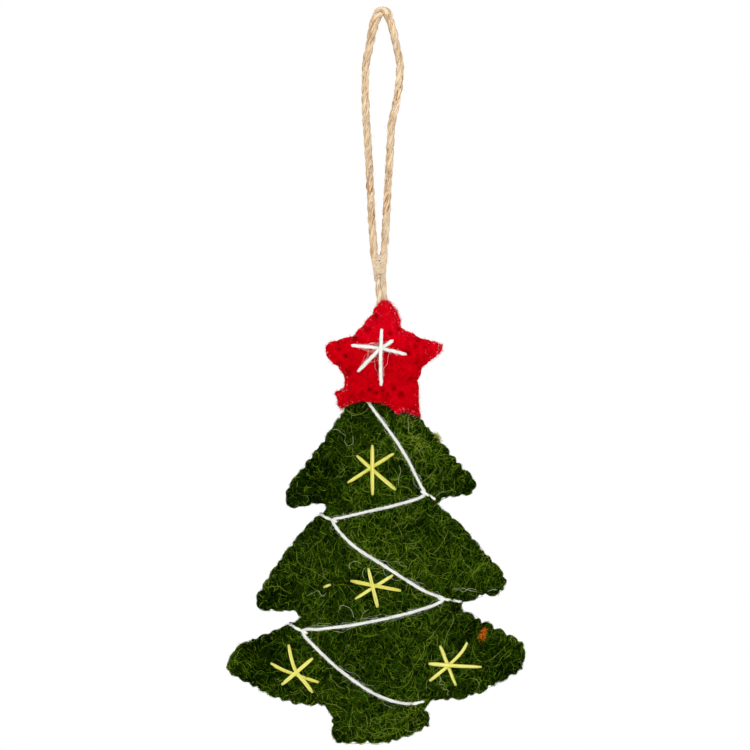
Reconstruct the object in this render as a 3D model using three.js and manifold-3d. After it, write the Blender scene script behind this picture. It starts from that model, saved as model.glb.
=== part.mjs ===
// A stuffed felt christmas tree ornament with a felt star and a twine hanging loop.
// Millimetres, +Z up, front faces -Y. The origin is the hang point: the inside of the loop's top.
import * as THREE from 'three';
import { mergeVertices } from 'three/addons/utils/BufferGeometryUtils.js';
import Module from 'manifold-3d';

const wasm = await Module();
wasm.setup();

// Drops, each from the one before, down from the hang point
const loopDrop = 62.6;
const neckDrop = 9.4;
const peakDrop = 1.8;
const treeTopDrop = 16.6;
const topTierDrop = 35.6;
const middleTierDrop = 26.4;
const bottomTierDrop = 25.0;
const trunkDrop = 11.5;

// Widths of the tree pattern, tip to tip or notch to notch
const topTierWidth = 49.6;
const middleTierWidth = 65.2;
const bottomTierWidth = 78.2;
const topWaistWidth = 28.3;
const middleWaistWidth = 42.6;
const trunkWidth = 26.0;

// Star pattern
const starWidth = 31.1;
const starHeight = 30.6;

// Felt, seams and filling
const feltThickness = 2.0;
const pinchedThickness = 1.5;
const pinchReach = 2.5;
const clearance = 0.3;
const treePuff = 5.6;
const puffReach = 11.0;
const topPuffShare = 0.25;
const starPuff = 1.6;
const starPuffReach = 4.5;
const starDrape = 3.0;
const starSeatSlack = 0.25;
const fillingInset = 5.0;

// Edge stitching
const stitchPitch = 3.1;
const scallopDepth = 0.6;
const edgeThreadDiameter = 0.6;
const treeThreadDrop = 2.0;
const starThreadDrop = 4.4;
const starThreadReach = 18.0;

// Embroidery
const flossDiameter = 1.0;
const yarnDiameter = 1.2;
const stitchSides = 6;
const flossLayer = 0.4;
const tackReturn = 2.6;

// Twine
const cordDiameter = 1.9;
const strandDiameter = 1.5;
const cordSides = 8;
const cordSteps = 52;
const forkGap = 0.4;
const tailLength = 12.4;
const neckTopX = -1.2;
const neckFootX = -0.55;
const bindingDiameter = 0.55;
const bindingTurns = 4;
const bindingPitch = 1.05;
const bindingDrop = 0.6;

// Mesh spacing of the felt sheets
const nearRing = 1.7;
const gridStep = 5.6;
const starRing = 1.7;
const starGrid = 2.9;
const starStep = 1.6;

// Levels, from the hang point at zero
const forkLevel = -loopDrop;
const foldLevel = forkLevel - neckDrop;
const starPeak = foldLevel - peakDrop;
const treeTop = starPeak - treeTopDrop;
const topHem = treeTop - topTierDrop;
const middleHem = topHem - middleTierDrop;
const bottomHem = middleHem - bottomTierDrop;
const trunkFoot = bottomHem - trunkDrop;

// The sheets part just enough at their edge for the thread that lies in the seam.
const seamGap = edgeThreadDiameter + 2 * clearance;

const feltGreen = '#2f4412';
const feltRed = '#c60a1e';
const twineTan = '#d9bd97';
const flossYellow = '#e6d765';
const yarnWhite = '#f1eee4';
const threadGreen = '#26360f';
const threadRed = '#a80c1c';
const fillWhite = '#efece2';

const ornament = new THREE.Group();

function place(name, geometry, color) {
  const material = new THREE.MeshStandardMaterial({ color, roughness: 0.95, metalness: 0 });
  const mesh = new THREE.Mesh(geometry, material);
  mesh.name = name;
  ornament.add(mesh);
}

// Solids: welding, joining and cutting

function weld(geometry) {
  const bare = geometry.clone();
  bare.deleteAttribute('normal');
  bare.deleteAttribute('uv');
  return mergeVertices(bare, 1e-4);
}

function toSolid(geometry) {
  const welded = weld(geometry);
  const vertProperties = new Float32Array(welded.attributes.position.array);
  const triVerts = new Uint32Array(welded.index.array);
  return new wasm.Manifold(new wasm.Mesh({ numProp: 3, vertProperties, triVerts }));
}

function toGeometry(solid) {
  const mesh = solid.getMesh();
  const geometry = new THREE.BufferGeometry();
  geometry.setAttribute('position', new THREE.BufferAttribute(mesh.vertProperties, 3));
  geometry.setIndex(new THREE.BufferAttribute(mesh.triVerts, 1));
  return geometry;
}

function join(geometries) {
  const solids = geometries.map(toSolid);
  return toGeometry(solids.reduce((whole, solid) => whole.add(solid)));
}

function cut(geometry, tools) {
  return toGeometry(tools.map(toSolid).reduce((rest, tool) => rest.subtract(tool), toSolid(geometry)));
}

// Outlines: straight cuts with eased corners, in X and Z

function easedPath(corners) {
  const points = corners.map(([x, z]) => new THREE.Vector2(x, z));
  const path = new THREE.Path();
  points.forEach((corner, i) => {
    const before = points[(i + points.length - 1) % points.length];
    const after = points[(i + 1) % points.length];
    const ease = corners[i][2];
    const enter = corner.clone().lerp(before, Math.min(0.5, ease / corner.distanceTo(before)));
    const leave = corner.clone().lerp(after, Math.min(0.5, ease / corner.distanceTo(after)));
    if (i === 0) {
      path.moveTo(enter.x, enter.y);
    } else {
      path.lineTo(enter.x, enter.y);
    }
    path.quadraticCurveTo(corner.x, corner.y, leave.x, leave.y);
  });
  path.closePath();
  return path;
}

function spacedOutline(path, count) {
  return path.getSpacedPoints(count).slice(0, count);
}

// The corners run anticlockwise, so the left of the way along is inside.
function inwardNormal(outline, i) {
  const before = outline[(i + outline.length - 1) % outline.length];
  const after = outline[(i + 1) % outline.length];
  const along = after.clone().sub(before).normalize();
  return new THREE.Vector2(-along.y, along.x);
}

function offsetPoint(outline, i, inward) {
  return outline[i].clone().addScaledVector(inwardNormal(outline, i), inward);
}

// Distance to an outline, positive inside it
function depthIn(outline, p) {
  let nearest = Infinity;
  let inside = false;
  outline.forEach((a, i) => {
    const b = outline[(i + 1) % outline.length];
    const edge = b.clone().sub(a);
    const share = THREE.MathUtils.clamp(p.clone().sub(a).dot(edge) / edge.lengthSq(), 0, 1);
    nearest = Math.min(nearest, a.clone().addScaledVector(edge, share).distanceTo(p));
    const crosses = (a.y > p.y) !== (b.y > p.y);
    if (crosses && p.x < a.x + (edge.x * (p.y - a.y)) / edge.y) {
      inside = !inside;
    }
  });
  return inside ? nearest : -nearest;
}

// Sheets: a triangle net over an outline, given a front and a back surface

function circumcircle(points, a, b, c) {
  const [p, q, r] = [points[a], points[b], points[c]];
  const twice = 2 * (p.x * (q.y - r.y) + q.x * (r.y - p.y) + r.x * (p.y - q.y));
  const x = (p.lengthSq() * (q.y - r.y) + q.lengthSq() * (r.y - p.y) + r.lengthSq() * (p.y - q.y)) / twice;
  const y = (p.lengthSq() * (r.x - q.x) + q.lengthSq() * (p.x - r.x) + r.lengthSq() * (q.x - p.x)) / twice;
  const center = new THREE.Vector2(x, y);
  return { corners: twice > 0 ? [a, b, c] : [a, c, b], center, reach: center.distanceToSquared(p) };
}

function delaunay(points) {
  const far = 4000;
  const count = points.length;
  const frame = [[-far, -far], [far, -far], [0, far]].map(([x, y]) => new THREE.Vector2(x, y));
  const all = [...points, ...frame];
  let triangles = [circumcircle(all, count, count + 1, count + 2)];
  for (let i = 0; i < count; i += 1) {
    const rim = new Map();
    const kept = [];
    for (const triangle of triangles) {
      if (triangle.center.distanceToSquared(points[i]) >= triangle.reach) {
        kept.push(triangle);
        continue;
      }
      triangle.corners.forEach((a, k) => {
        const b = triangle.corners[(k + 1) % 3];
        const key = a < b ? `${a} ${b}` : `${b} ${a}`;
        if (!rim.delete(key)) {
          rim.set(key, [a, b]);
        }
      });
    }
    triangles = kept;
    for (const [a, b] of rim.values()) {
      triangles.push(circumcircle(all, a, b, i));
    }
  }
  return triangles.map((triangle) => triangle.corners).filter((corners) => Math.max(...corners) < count);
}

// Points of a sheet: its edge, a ring that follows the edge, and a staggered grid in the middle
function sheetNet(edge, base, inset, every, step) {
  const points = [...edge];
  for (let i = 0; i < base.length; i += every) {
    const p = offsetPoint(base, i, inset);
    const clear = points.slice(edge.length).every((other) => other.distanceTo(p) > 0.6 * inset);
    if (depthIn(base, p) > 0.93 * inset && clear) {
      points.push(p);
    }
  }
  const box = new THREE.Box2().setFromPoints(edge);
  let row = 0;
  for (let z = box.min.y; z < box.max.y; z += step * 0.87) {
    for (let x = box.min.x + (row % 2) * 0.5 * step; x < box.max.x; x += step) {
      const p = new THREE.Vector2(x, z);
      if (depthIn(base, p) > inset + step / 2) {
        points.push(p);
      }
    }
    row += 1;
  }
  const triangles = delaunay(points).filter((corners) => {
    const middle = new THREE.Vector2();
    corners.forEach((i) => middle.add(points[i]));
    return depthIn(edge, middle.divideScalar(3)) > 0.02;
  });
  return { points, triangles };
}

// The net's triangles as a closed solid between Y = front(p) and Y = back(p)
function netSolid({ points, triangles }, front, back) {
  const used = [...new Set(triangles.flat())];
  const slot = new Map(used.map((point, i) => [point, i]));
  const positions = [];
  [front, back].forEach((surface) => {
    used.forEach((i) => positions.push(points[i].x, surface(points[i]), points[i].y));
  });
  const half = used.length;
  const index = [];
  const rim = new Map();
  triangles.forEach((corners) => {
    const [a, b, c] = corners.map((i) => slot.get(i));
    index.push(a, b, c, half + a, half + c, half + b);
    [[a, b], [b, c], [c, a]].forEach(([from, to]) => {
      if (!rim.delete(`${to} ${from}`)) {
        rim.set(`${from} ${to}`, [from, to]);
      }
    });
  });
  rim.forEach(([from, to]) => {
    index.push(from, half + from, to, to, half + from, half + to);
  });
  const geometry = new THREE.BufferGeometry();
  geometry.setAttribute('position', new THREE.Float32BufferAttribute(positions, 3));
  geometry.setIndex(index);
  return geometry;
}

// Threads and cords: a round section swept along a curve

function tube(curve, diameter, sides, steps) {
  const section = new THREE.Shape();
  for (let i = 0; i < sides; i += 1) {
    const angle = (2 * Math.PI * i) / sides;
    const x = 0.5 * diameter * Math.cos(angle);
    const y = 0.5 * diameter * Math.sin(angle);
    if (i === 0) {
      section.moveTo(x, y);
    } else {
      section.lineTo(x, y);
    }
  }
  section.closePath();
  return new THREE.ExtrudeGeometry(section, { steps, extrudePath: curve, bevelEnabled: false });
}

function smooth(points) {
  return new THREE.CatmullRomCurve3(points, false, 'centripetal');
}

// Tree pattern: x, z and corner ease, down the left side, round the trunk and up the right side

const topShift = -0.6;
const middleShift = -0.7;
const bottomShift = -2.1;
const topWaistShift = -0.5;
const middleWaistShift = -1.1;
const trunkShift = -1.2;
const leftOf = (width, shift) => shift - width / 2;
const rightOf = (width, shift) => shift + width / 2;

const notches = {
  topRight: [rightOf(topWaistWidth, topWaistShift), topHem + 0.4],
  topLeft: [leftOf(topWaistWidth, topWaistShift), topHem + 0.5],
  middleRight: [rightOf(middleWaistWidth, middleWaistShift), middleHem + 0.3],
  middleLeft: [leftOf(middleWaistWidth, middleWaistShift), middleHem - 2.6],
};

const treeCorners = [
  [-3.1, treeTop, 2.5],
  [leftOf(topTierWidth, topShift) + 0.2, topHem + 2.4, 3.0],
  [leftOf(topTierWidth, topShift) + 0.2, topHem - 2.2, 1.6],
  [...notches.topLeft, 1.3],
  [leftOf(topWaistWidth, topWaistShift) - 2.0, topHem - 4.4, 2.0],
  [leftOf(middleTierWidth, middleShift) + 8.8, middleHem + 14.8, 8.0],
  [leftOf(middleTierWidth, middleShift), middleHem + 1.0, 2.0],
  [leftOf(middleTierWidth, middleShift) + 1.4, middleHem - 2.2, 1.8],
  [...notches.middleLeft, 1.3],
  [leftOf(middleWaistWidth, middleWaistShift) - 2.6, middleHem - 5.8, 2.0],
  [leftOf(bottomTierWidth, bottomShift) + 2.7, bottomHem + 12.9, 4.0],
  [leftOf(bottomTierWidth, bottomShift) - 0.2, bottomHem + 7.6, 2.2],
  [leftOf(bottomTierWidth, bottomShift) + 14.4, bottomHem - 0.5, 9.0],
  [leftOf(trunkWidth, trunkShift) - 0.6, bottomHem - 2.2, 1.2],
  [leftOf(trunkWidth, trunkShift) + 0.3, trunkFoot, 2.6],
  [rightOf(trunkWidth, trunkShift) - 8.6, trunkFoot + 0.3, 4.0],
  [rightOf(trunkWidth, trunkShift) - 3.2, trunkFoot + 2.4, 2.0],
  [rightOf(trunkWidth, trunkShift) + 0.5, trunkFoot + 4.7, 1.6],
  [rightOf(trunkWidth, trunkShift) - 1.6, bottomHem - 0.7, 1.2],
  [rightOf(bottomTierWidth, bottomShift) - 14.4, bottomHem + 0.6, 9.0],
  [rightOf(bottomTierWidth, bottomShift) - 1.0, bottomHem + 7.8, 3.2],
  [rightOf(bottomTierWidth, bottomShift), bottomHem + 14.4, 2.4],
  [rightOf(bottomTierWidth, bottomShift) - 11.8, bottomHem + 20.1, 5.0],
  [...notches.middleRight, 1.3],
  [rightOf(middleTierWidth, middleShift) - 0.2, middleHem + 2.8, 1.8],
  [rightOf(middleTierWidth, middleShift) + 0.1, middleHem + 6.4, 2.2],
  [...notches.topRight, 1.3],
  [rightOf(topTierWidth, topShift) - 0.3, topHem + 1.6, 1.6],
  [rightOf(topTierWidth, topShift) + 0.2, topHem + 4.9, 2.2],
];

const treePath = easedPath(treeCorners);
const scallops = Math.round(treePath.getLength() / stitchPitch);
const treeBase = spacedOutline(treePath, 2 * scallops);

// Every other point is drawn in by a stitch, which scallops the edge.
const treeEdge = treeBase.map((p, i) => (i % 2 ? offsetPoint(treeBase, i, scallopDepth) : p));

// Half the filled thickness at a point: it swells from the seam to a flat middle and thins to the top.
function treeInner(p) {
  const rise = THREE.MathUtils.clamp((depthIn(treeBase, p) - scallopDepth) / puffReach, 0, 1);
  const low = THREE.MathUtils.smoothstep(treeTop - p.y, 0, treeTop - topHem - puffReach / 2);
  const share = topPuffShare + (1 - topPuffShare) * low;
  return seamGap / 2 + share * treePuff * (1 - (1 - rise) ** 2);
}

function thicknessAt(depth) {
  const full = THREE.MathUtils.smoothstep(depth, 0, pinchReach);
  return THREE.MathUtils.lerp(pinchedThickness, feltThickness, full);
}

function treeOuter(p) {
  return treeInner(p) + thicknessAt(depthIn(treeBase, p));
}

// Star pattern: shares of its width and height, from the peak, and corner ease

const starCorners = [
  [0.022, 0.0, 1.2],
  [-0.243, -0.288, 2.2],
  [-0.489, -0.376, 1.5],
  [-0.492, -0.475, 1.5],
  [-0.325, -0.682, 2.2],
  [-0.354, -0.925, 1.5],
  [-0.03, -0.872, 1.5],
  [0.1, -0.99, 1.2],
  [0.33, -1.0, 1.4],
  [0.296, -0.588, 2.4],
  [0.508, -0.376, 1.6],
  [0.14, -0.23, 2.2],
].map(([x, z, ease]) => [x * starWidth, starPeak + z * starHeight, ease]);

const starPath = easedPath(starCorners);
const starEdge = spacedOutline(starPath, Math.round(starPath.getLength() / starStep));

// How far the star's inside has to stand off the middle to clear the tree's top and the twine
function overTree(p) {
  const depth = depthIn(treeBase, p);
  const fade = THREE.MathUtils.smoothstep(depth, -nearRing - starDrape, -nearRing);
  return fade * (treeOuter(p) + clearance + starSeatSlack);
}

const pairSpread = (strandDiameter + clearance) / 2;

function overTwine(p) {
  const level = THREE.MathUtils.clamp(p.y, foldLevel - tailLength, starPeak);
  const aside = p.distanceTo(new THREE.Vector2(neckFootX, level));
  const reach = pairSpread + strandDiameter / 2 + clearance;
  const fade = 1 - THREE.MathUtils.smoothstep(aside, reach, reach + starDrape / 2);
  return fade * (strandDiameter / 2 + clearance);
}

function starInner(p) {
  const rise = THREE.MathUtils.clamp(depthIn(starEdge, p) / starPuffReach, 0, 1);
  const swell = starPuff * (1 - (1 - rise) ** 2);
  return Math.max(seamGap / 2 + swell, overTree(p), overTwine(p));
}

function starOuter(p) {
  return starInner(p) + thicknessAt(depthIn(starEdge, p));
}

// Stitches: each dips through a needle hole at both ends and lies on the felt between them

const holeTools = { tree: [], star: [] };
const sheets = {
  tree: { inner: treeInner, outer: treeOuter, holes: holeTools.tree },
  star: { inner: starInner, outer: starOuter, holes: holeTools.star },
};

function needleHole(sheet, p, diameter) {
  const radius = diameter / 2 + clearance;
  const near = sheet.inner(p) - feltThickness / 4;
  const far = sheet.outer(p) + feltThickness;
  const hole = new THREE.CylinderGeometry(radius, radius, far - near, stitchSides);
  hole.translate(p.x, -(near + far) / 2, p.y);
  sheet.holes.push(hole);
}

function legFoot(sheet, p) {
  const depth = 0.25 * sheet.outer(p) + 0.75 * sheet.inner(p);
  return new THREE.Vector3(p.x, -depth, p.y);
}

// lay is a list of [x, z] on the felt, lift the extra height at mid-length
function stitch(sheet, lay, diameter, lift, steps, ends = [true, true]) {
  const spots = lay.map(([x, z]) => new THREE.Vector2(x, z));
  const route = new THREE.SplineCurve(spots);
  const over = [];
  for (let i = 0; i <= steps; i += 1) {
    const share = i / steps;
    const p = route.getPointAt(share);
    const height = sheet.outer(p) + clearance + diameter / 2 + lift * Math.sin(Math.PI * share) ** 2;
    over.push(new THREE.Vector3(p.x, -height, p.y));
  }
  const points = [...over];
  if (ends[0]) {
    needleHole(sheet, spots[0], diameter);
    points.unshift(legFoot(sheet, spots[0]));
  }
  if (ends[1]) {
    needleHole(sheet, spots.at(-1), diameter);
    points.push(legFoot(sheet, spots.at(-1)));
  }
  return tube(smooth(points), diameter, stitchSides, steps + 6);
}

// A six-ray star of three crossing straight stitches, laid one over another
function rayStar(sheet, stitches) {
  return join(stitches.map((lay, i) => stitch(sheet, lay, flossDiameter, i * flossLayer, 6)));
}

place('yellow_star_top', rayStar(sheets.tree, [
  [[-9.7, topHem + 4.6], [3.0, topHem + 12.6]],
  [[-7.3, topHem + 12.1], [3.4, topHem + 2.7]],
  [[-2.9, topHem + 1.2], [-3.0, topHem + 15.0]],
]), flossYellow);

place('yellow_star_middle', rayStar(sheets.tree, [
  [[-7.7, middleHem + 0.8], [1.5, middleHem + 6.9]],
  [[-9.0, middleHem + 5.8], [4.9, middleHem + 3.1]],
  [[-1.5, middleHem - 1.5], [-4.1, middleHem + 9.2]],
]), flossYellow);

const leftStarX = leftOf(bottomTierWidth, bottomShift) + 18.4;
const rightStarX = rightOf(bottomTierWidth, bottomShift) - 20.2;

place('yellow_star_lower_left', rayStar(sheets.tree, [
  [[leftStarX - 7.2, bottomHem + 9.5], [leftStarX + 6.3, bottomHem + 4.4]],
  [[leftStarX - 2.0, bottomHem + 14.5], [leftStarX + 4.8, bottomHem + 1.4]],
  [[leftStarX - 4.0, bottomHem + 3.5], [leftStarX + 4.6, bottomHem + 10.8]],
]), flossYellow);

place('yellow_star_lower_right', rayStar(sheets.tree, [
  [[rightStarX - 2.3, bottomHem + 14.1], [rightStarX + 2.1, bottomHem + 3.2]],
  [[rightStarX + 5.0, bottomHem + 14.8], [rightStarX - 5.2, bottomHem + 4.5]],
  [[rightStarX - 5.5, bottomHem + 9.2], [rightStarX + 9.0, bottomHem + 8.3]],
]), flossYellow);

const travelX = leftOf(middleTierWidth, middleShift) + 17.4;
place(
  'yellow_travel_stitch',
  stitch(sheets.tree, [[travelX, middleHem + 3.9], [travelX + 2.4, middleHem + 4.9]], flossDiameter, 0, 4),
  flossYellow,
);

const starMiddle = starPeak - 0.472 * starHeight;
place('white_star_stitch', rayStar(sheets.star, [
  [[-8.5, starMiddle + 2.7], [-0.9, starMiddle + 1.9], [6.0, starMiddle + 0.3]],
  [[-6.8, starMiddle - 4.2], [2.5, starMiddle + 4.0]],
  [[-0.9, starMiddle - 7.9], [-0.6, starMiddle + 7.1]],
]), yarnWhite);

// Garland: one yarn that zigzags down the front and is tacked round the edge at each notch

const tackEnds = [
  notches.topRight,
  [notches.topLeft[0] - 1.6, notches.topLeft[1] - 3.9],
  notches.middleRight,
  [notches.middleLeft[0] - 1.8, notches.middleLeft[1] - 2.9],
];
const turns = [
  [notches.topRight[0] - 3.0, notches.topRight[1] + 1.5],
  [notches.topLeft[0] + 1.4, notches.topLeft[1] - 5.4],
  [notches.middleRight[0] - 4.6, notches.middleRight[1] + 0.6],
  [notches.middleLeft[0] + 1.4, notches.middleLeft[1] - 4.6],
];
const garlandTop = [-2.6, starPeak - starHeight + 1.6];
const garlandFoot = [rightOf(trunkWidth, trunkShift) - 1.8, bottomHem - 0.9];

// The spot just outside the edge where a yarn can pass from the front to the back
function rimSpot([x, z]) {
  const wanted = new THREE.Vector2(x, z);
  let near = 0;
  treeBase.forEach((p, i) => {
    near = p.distanceTo(wanted) < treeBase[near].distanceTo(wanted) ? i : near;
  });
  let out = 0;
  let spot = treeBase[near];
  while (depthIn(treeBase, spot) > -(clearance + yarnDiameter / 2)) {
    out += 0.1;
    spot = offsetPoint(treeBase, near, -out);
  }
  return { spot, inward: inwardNormal(treeBase, near) };
}

// From a turn on the front, round the edge and a little way in on the back
function tack(from, end) {
  const { spot, inward } = rimSpot(end);
  const rest = clearance + yarnDiameter / 2;
  const half = seamGap / 2 + pinchedThickness;
  const inset = (distance) => spot.clone().addScaledVector(inward, distance);
  const onSheet = (p, side) => new THREE.Vector3(p.x, side * (treeOuter(p) + rest), p.y);
  const atRim = (distance, y) => new THREE.Vector3(inset(distance).x, y, inset(distance).y);
  const start = new THREE.Vector2(...from);
  const points = [onSheet(start, -1), onSheet(start.clone().lerp(inset(rest), 0.5), -1)];
  points.push(atRim(rest, -half - rest), atRim(0.3 * rest, -half - 0.8 * rest));
  points.push(atRim(0, -0.6 * half), atRim(0, 0.6 * half));
  points.push(atRim(0.3 * rest, half + 0.8 * rest), atRim(rest, half + rest));
  points.push(onSheet(inset(rest + tackReturn), 1));
  return tube(smooth(points), yarnDiameter, stitchSides, 13);
}

const garlandRuns = [
  [garlandTop, [3.7, topHem + 15.0], [6.8, topHem + 9.7], turns[0]],
  [turns[0], [3.6, topHem - 0.9], [-3.6, topHem - 2.6], turns[1]],
  [turns[1], [-8.8, topHem - 10.8], [1.8, middleHem + 8.5], turns[2]],
  [turns[2], [9.4, middleHem - 1.9], [-5.0, middleHem - 5.3], turns[3]],
  [
    turns[3],
    [-17.6, bottomHem + 13.2],
    [-10.0, bottomHem + 6.4],
    [-1.5, bottomHem + 0.9],
    [5.3, bottomHem - 1.2],
  ],
];

const garlandPieces = garlandRuns.map((lay, i) => {
  return stitch(sheets.tree, lay, yarnDiameter, 0, 9, [i === 0, false]);
});
tackEnds.forEach((end, i) => garlandPieces.push(tack(turns[i], end)));
garlandPieces.push(tack(garlandRuns.at(-1).at(-1), garlandFoot));
place('garland_yarn', join(garlandPieces), yarnWhite);

// Tree: two felt sheets with the filling between them

const treeNet = sheetNet(treeEdge, treeBase, nearRing, 3, gridStep);
const treeFront = netSolid(treeNet, (p) => -treeOuter(p), (p) => -treeInner(p));
place('tree_front_felt', cut(treeFront, holeTools.tree), feltGreen);
place('tree_back_felt', netSolid(treeNet, treeInner, treeOuter), feltGreen);

const fillingTriangles = treeNet.triangles.filter((corners) => {
  return corners.every((i) => depthIn(treeBase, treeNet.points[i]) > 0.9 * fillingInset);
});
const fillingNet = { points: treeNet.points, triangles: fillingTriangles };
const fillHalf = (p) => treeInner(p) - clearance;
place('tree_stuffing', netSolid(fillingNet, (p) => -fillHalf(p), fillHalf), fillWhite);

// Star: two felt sheets sewn together over the tree's top and the twine's ends

const starNet = sheetNet(starEdge, starEdge, starRing, 1, starGrid);
const starFront = netSolid(starNet, (p) => -starOuter(p), (p) => -starInner(p));
place('star_front_felt', cut(starFront, holeTools.star), feltRed);
place('star_back_felt', netSolid(starNet, starInner, starOuter), feltRed);

// Edge threads: each lies in the seam, between the edges of its two sheets

function edgeThread(outline, keep, steps) {
  const points = [];
  outline.forEach((p, i) => {
    if (keep(p, i)) {
      const q = offsetPoint(outline, i, scallopDepth);
      points.push(new THREE.Vector3(q.x, 0, q.y));
    }
  });
  return tube(smooth(points), edgeThreadDiameter, 5, steps);
}

place(
  'tree_edge_thread',
  edgeThread(treeBase, (p, i) => i % 2 === 0 && p.y < starPeak - starHeight - treeThreadDrop, scallops),
  threadGreen,
);

const threadTop = starPeak - starThreadDrop;
const besideCord = (p) => p.y < threadTop && p.y > threadTop - starThreadReach;
const starSteps = Math.round(starEdge.length / 2.5);
[['left', -1], ['right', 1]].forEach(([side, sign]) => {
  const onSide = (p) => besideCord(p) && sign * (p.x - neckFootX) > 0;
  place(`star_edge_thread_${side}`, edgeThread(starEdge, onSide, starSteps), threadRed);
});

// Hanging loop: twine up the left leg, over the top and down the right leg

const loopRoute = [
  [-2.35, forkLevel + forkGap / 2],
  [-2.65, -58.0],
  [-3.05, -51.0],
  [-3.4, -44.5],
  [-3.85, -38.0],
  [-4.15, -32.0],
  [-4.6, -26.0],
  [-4.75, -19.5],
  [-4.6, -12.5],
  [-3.9, -8.5],
  [-3.25, -5.0],
  [-2.75, -2.0],
  [-1.75, 0.15],
  [0.0, 0.95],
  [1.25, 0.15],
  [2.1, -2.4],
  [2.9, -5.5],
  [3.75, -9.5],
  [4.4, -13.0],
  [4.0, -18.5],
  [3.3, -23.5],
  [2.4, -27.5],
  [1.85, -32.0],
  [1.55, -37.0],
  [1.15, -43.0],
  [0.85, -49.0],
  [0.5, -55.0],
  [0.2, -60.0],
  [0.05, forkLevel + forkGap / 2],
].map(([x, z]) => new THREE.Vector3(x, 0, z));
place('hanging_loop', tube(smooth(loopRoute), cordDiameter, cordSides, cordSteps), twineTan);

// Neck: the two strands below the fork, bound together, with round feet at the fold

const strandRadius = strandDiameter / 2;
const flatFoot = [new THREE.Vector2(0, 0), new THREE.Vector2(strandRadius, 0)];
const roundFoot = [];
const footSteps = 4;
for (let i = 0; i <= footSteps; i += 1) {
  const angle = (Math.PI / 2) * (i / footSteps);
  roundFoot.push(new THREE.Vector2(strandRadius * Math.sin(angle), -strandRadius * Math.cos(angle)));
}

function strand(top, foot, footProfile) {
  const length = top.distanceTo(foot);
  const profile = [...footProfile, new THREE.Vector2(strandRadius, length), new THREE.Vector2(0, length)];
  const geometry = new THREE.LatheGeometry(profile, cordSides);
  const up = top.clone().sub(foot).normalize();
  geometry.applyQuaternion(new THREE.Quaternion().setFromUnitVectors(new THREE.Vector3(0, 1, 0), up));
  geometry.translate(foot.x, foot.y, foot.z);
  return geometry;
}

const neckTop = new THREE.Vector3(neckTopX, 0, forkLevel - forkGap / 2);
const neckFoot = new THREE.Vector3(neckFootX, 0, foldLevel);
const tailTop = new THREE.Vector3(neckFootX, 0, foldLevel - strandRadius - clearance);
const tailFoot = tailTop.clone().setZ(tailTop.z - tailLength);
[['left', -pairSpread], ['right', pairSpread]].forEach(([side, x]) => {
  const beside = (p) => p.clone().setX(p.x + x);
  place(`neck_strand_${side}`, strand(beside(neckTop), beside(neckFoot), roundFoot), twineTan);
  place(`cord_tail_${side}`, strand(beside(tailTop), beside(tailFoot), flatFoot), twineTan);
});

// Binding: a fine thread wound round both strands below the fork

const bindingDeep = strandRadius + clearance + bindingDiameter / 2;
const bindingWide = pairSpread + bindingDeep;
const bindingSteps = 20;
const bindingPoints = [];
for (let i = 0; i <= bindingTurns * bindingSteps; i += 1) {
  const turn = i / bindingSteps;
  const level = forkLevel - bindingDrop - bindingDiameter / 2 - turn * bindingPitch;
  const middle = THREE.MathUtils.mapLinear(level, neckTop.z, neckFoot.z, neckTop.x, neckFoot.x);
  const angle = 2 * Math.PI * turn + Math.PI / 2;
  const x = middle + bindingWide * Math.cos(angle);
  bindingPoints.push(new THREE.Vector3(x, bindingDeep * Math.sin(angle), level));
}
let bindingGap = Infinity;
bindingPoints.forEach((p, i) => {
  bindingPoints.slice(i + bindingSteps / 2).forEach((q) => {
    bindingGap = Math.min(bindingGap, p.distanceTo(q) - bindingDiameter);
  });
});
console.log(`binding: least gap between turns ${bindingGap.toFixed(2)} mm`);
const bindingCurve = smooth(bindingPoints);
place('cord_binding', tube(bindingCurve, bindingDiameter, 6, bindingTurns * bindingSteps), twineTan);

export default ornament;
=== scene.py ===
import math

import bpy
import numpy as np
from mathutils import Matrix, Vector
from mathutils.bvhtree import BVHTree


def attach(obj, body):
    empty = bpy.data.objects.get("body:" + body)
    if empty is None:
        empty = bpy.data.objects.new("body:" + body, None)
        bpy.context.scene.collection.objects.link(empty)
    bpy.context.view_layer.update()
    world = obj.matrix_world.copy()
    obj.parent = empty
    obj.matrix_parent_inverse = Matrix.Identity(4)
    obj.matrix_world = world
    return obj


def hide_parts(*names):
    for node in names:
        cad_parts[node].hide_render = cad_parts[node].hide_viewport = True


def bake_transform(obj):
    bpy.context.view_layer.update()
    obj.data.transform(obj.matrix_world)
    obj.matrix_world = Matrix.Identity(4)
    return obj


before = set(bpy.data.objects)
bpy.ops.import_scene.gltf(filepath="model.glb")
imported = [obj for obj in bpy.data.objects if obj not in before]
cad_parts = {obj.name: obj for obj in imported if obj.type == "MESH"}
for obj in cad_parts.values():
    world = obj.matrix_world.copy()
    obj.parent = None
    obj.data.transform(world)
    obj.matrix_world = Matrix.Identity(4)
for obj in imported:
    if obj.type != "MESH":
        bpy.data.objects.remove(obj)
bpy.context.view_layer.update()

mm = 0.001

# The studio: the ornament hangs in front of a plain white background, over a pale floor.
# A soft lamp up to the right lights it, with one on the left, one behind and a bright room all round.
# The camera looks at it squarely from the front through a long lens.
picture_mm = 0.26
picture_pixels = 750
view_distance = 0.9
view_middle = (-2.26 * mm, -93.2 * mm)
sensor_width = 36
room_strength = 0.55
lamp_aim = (0, 0, -0.12)
floor_radius = 0.95
floor_level = -0.3

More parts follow.
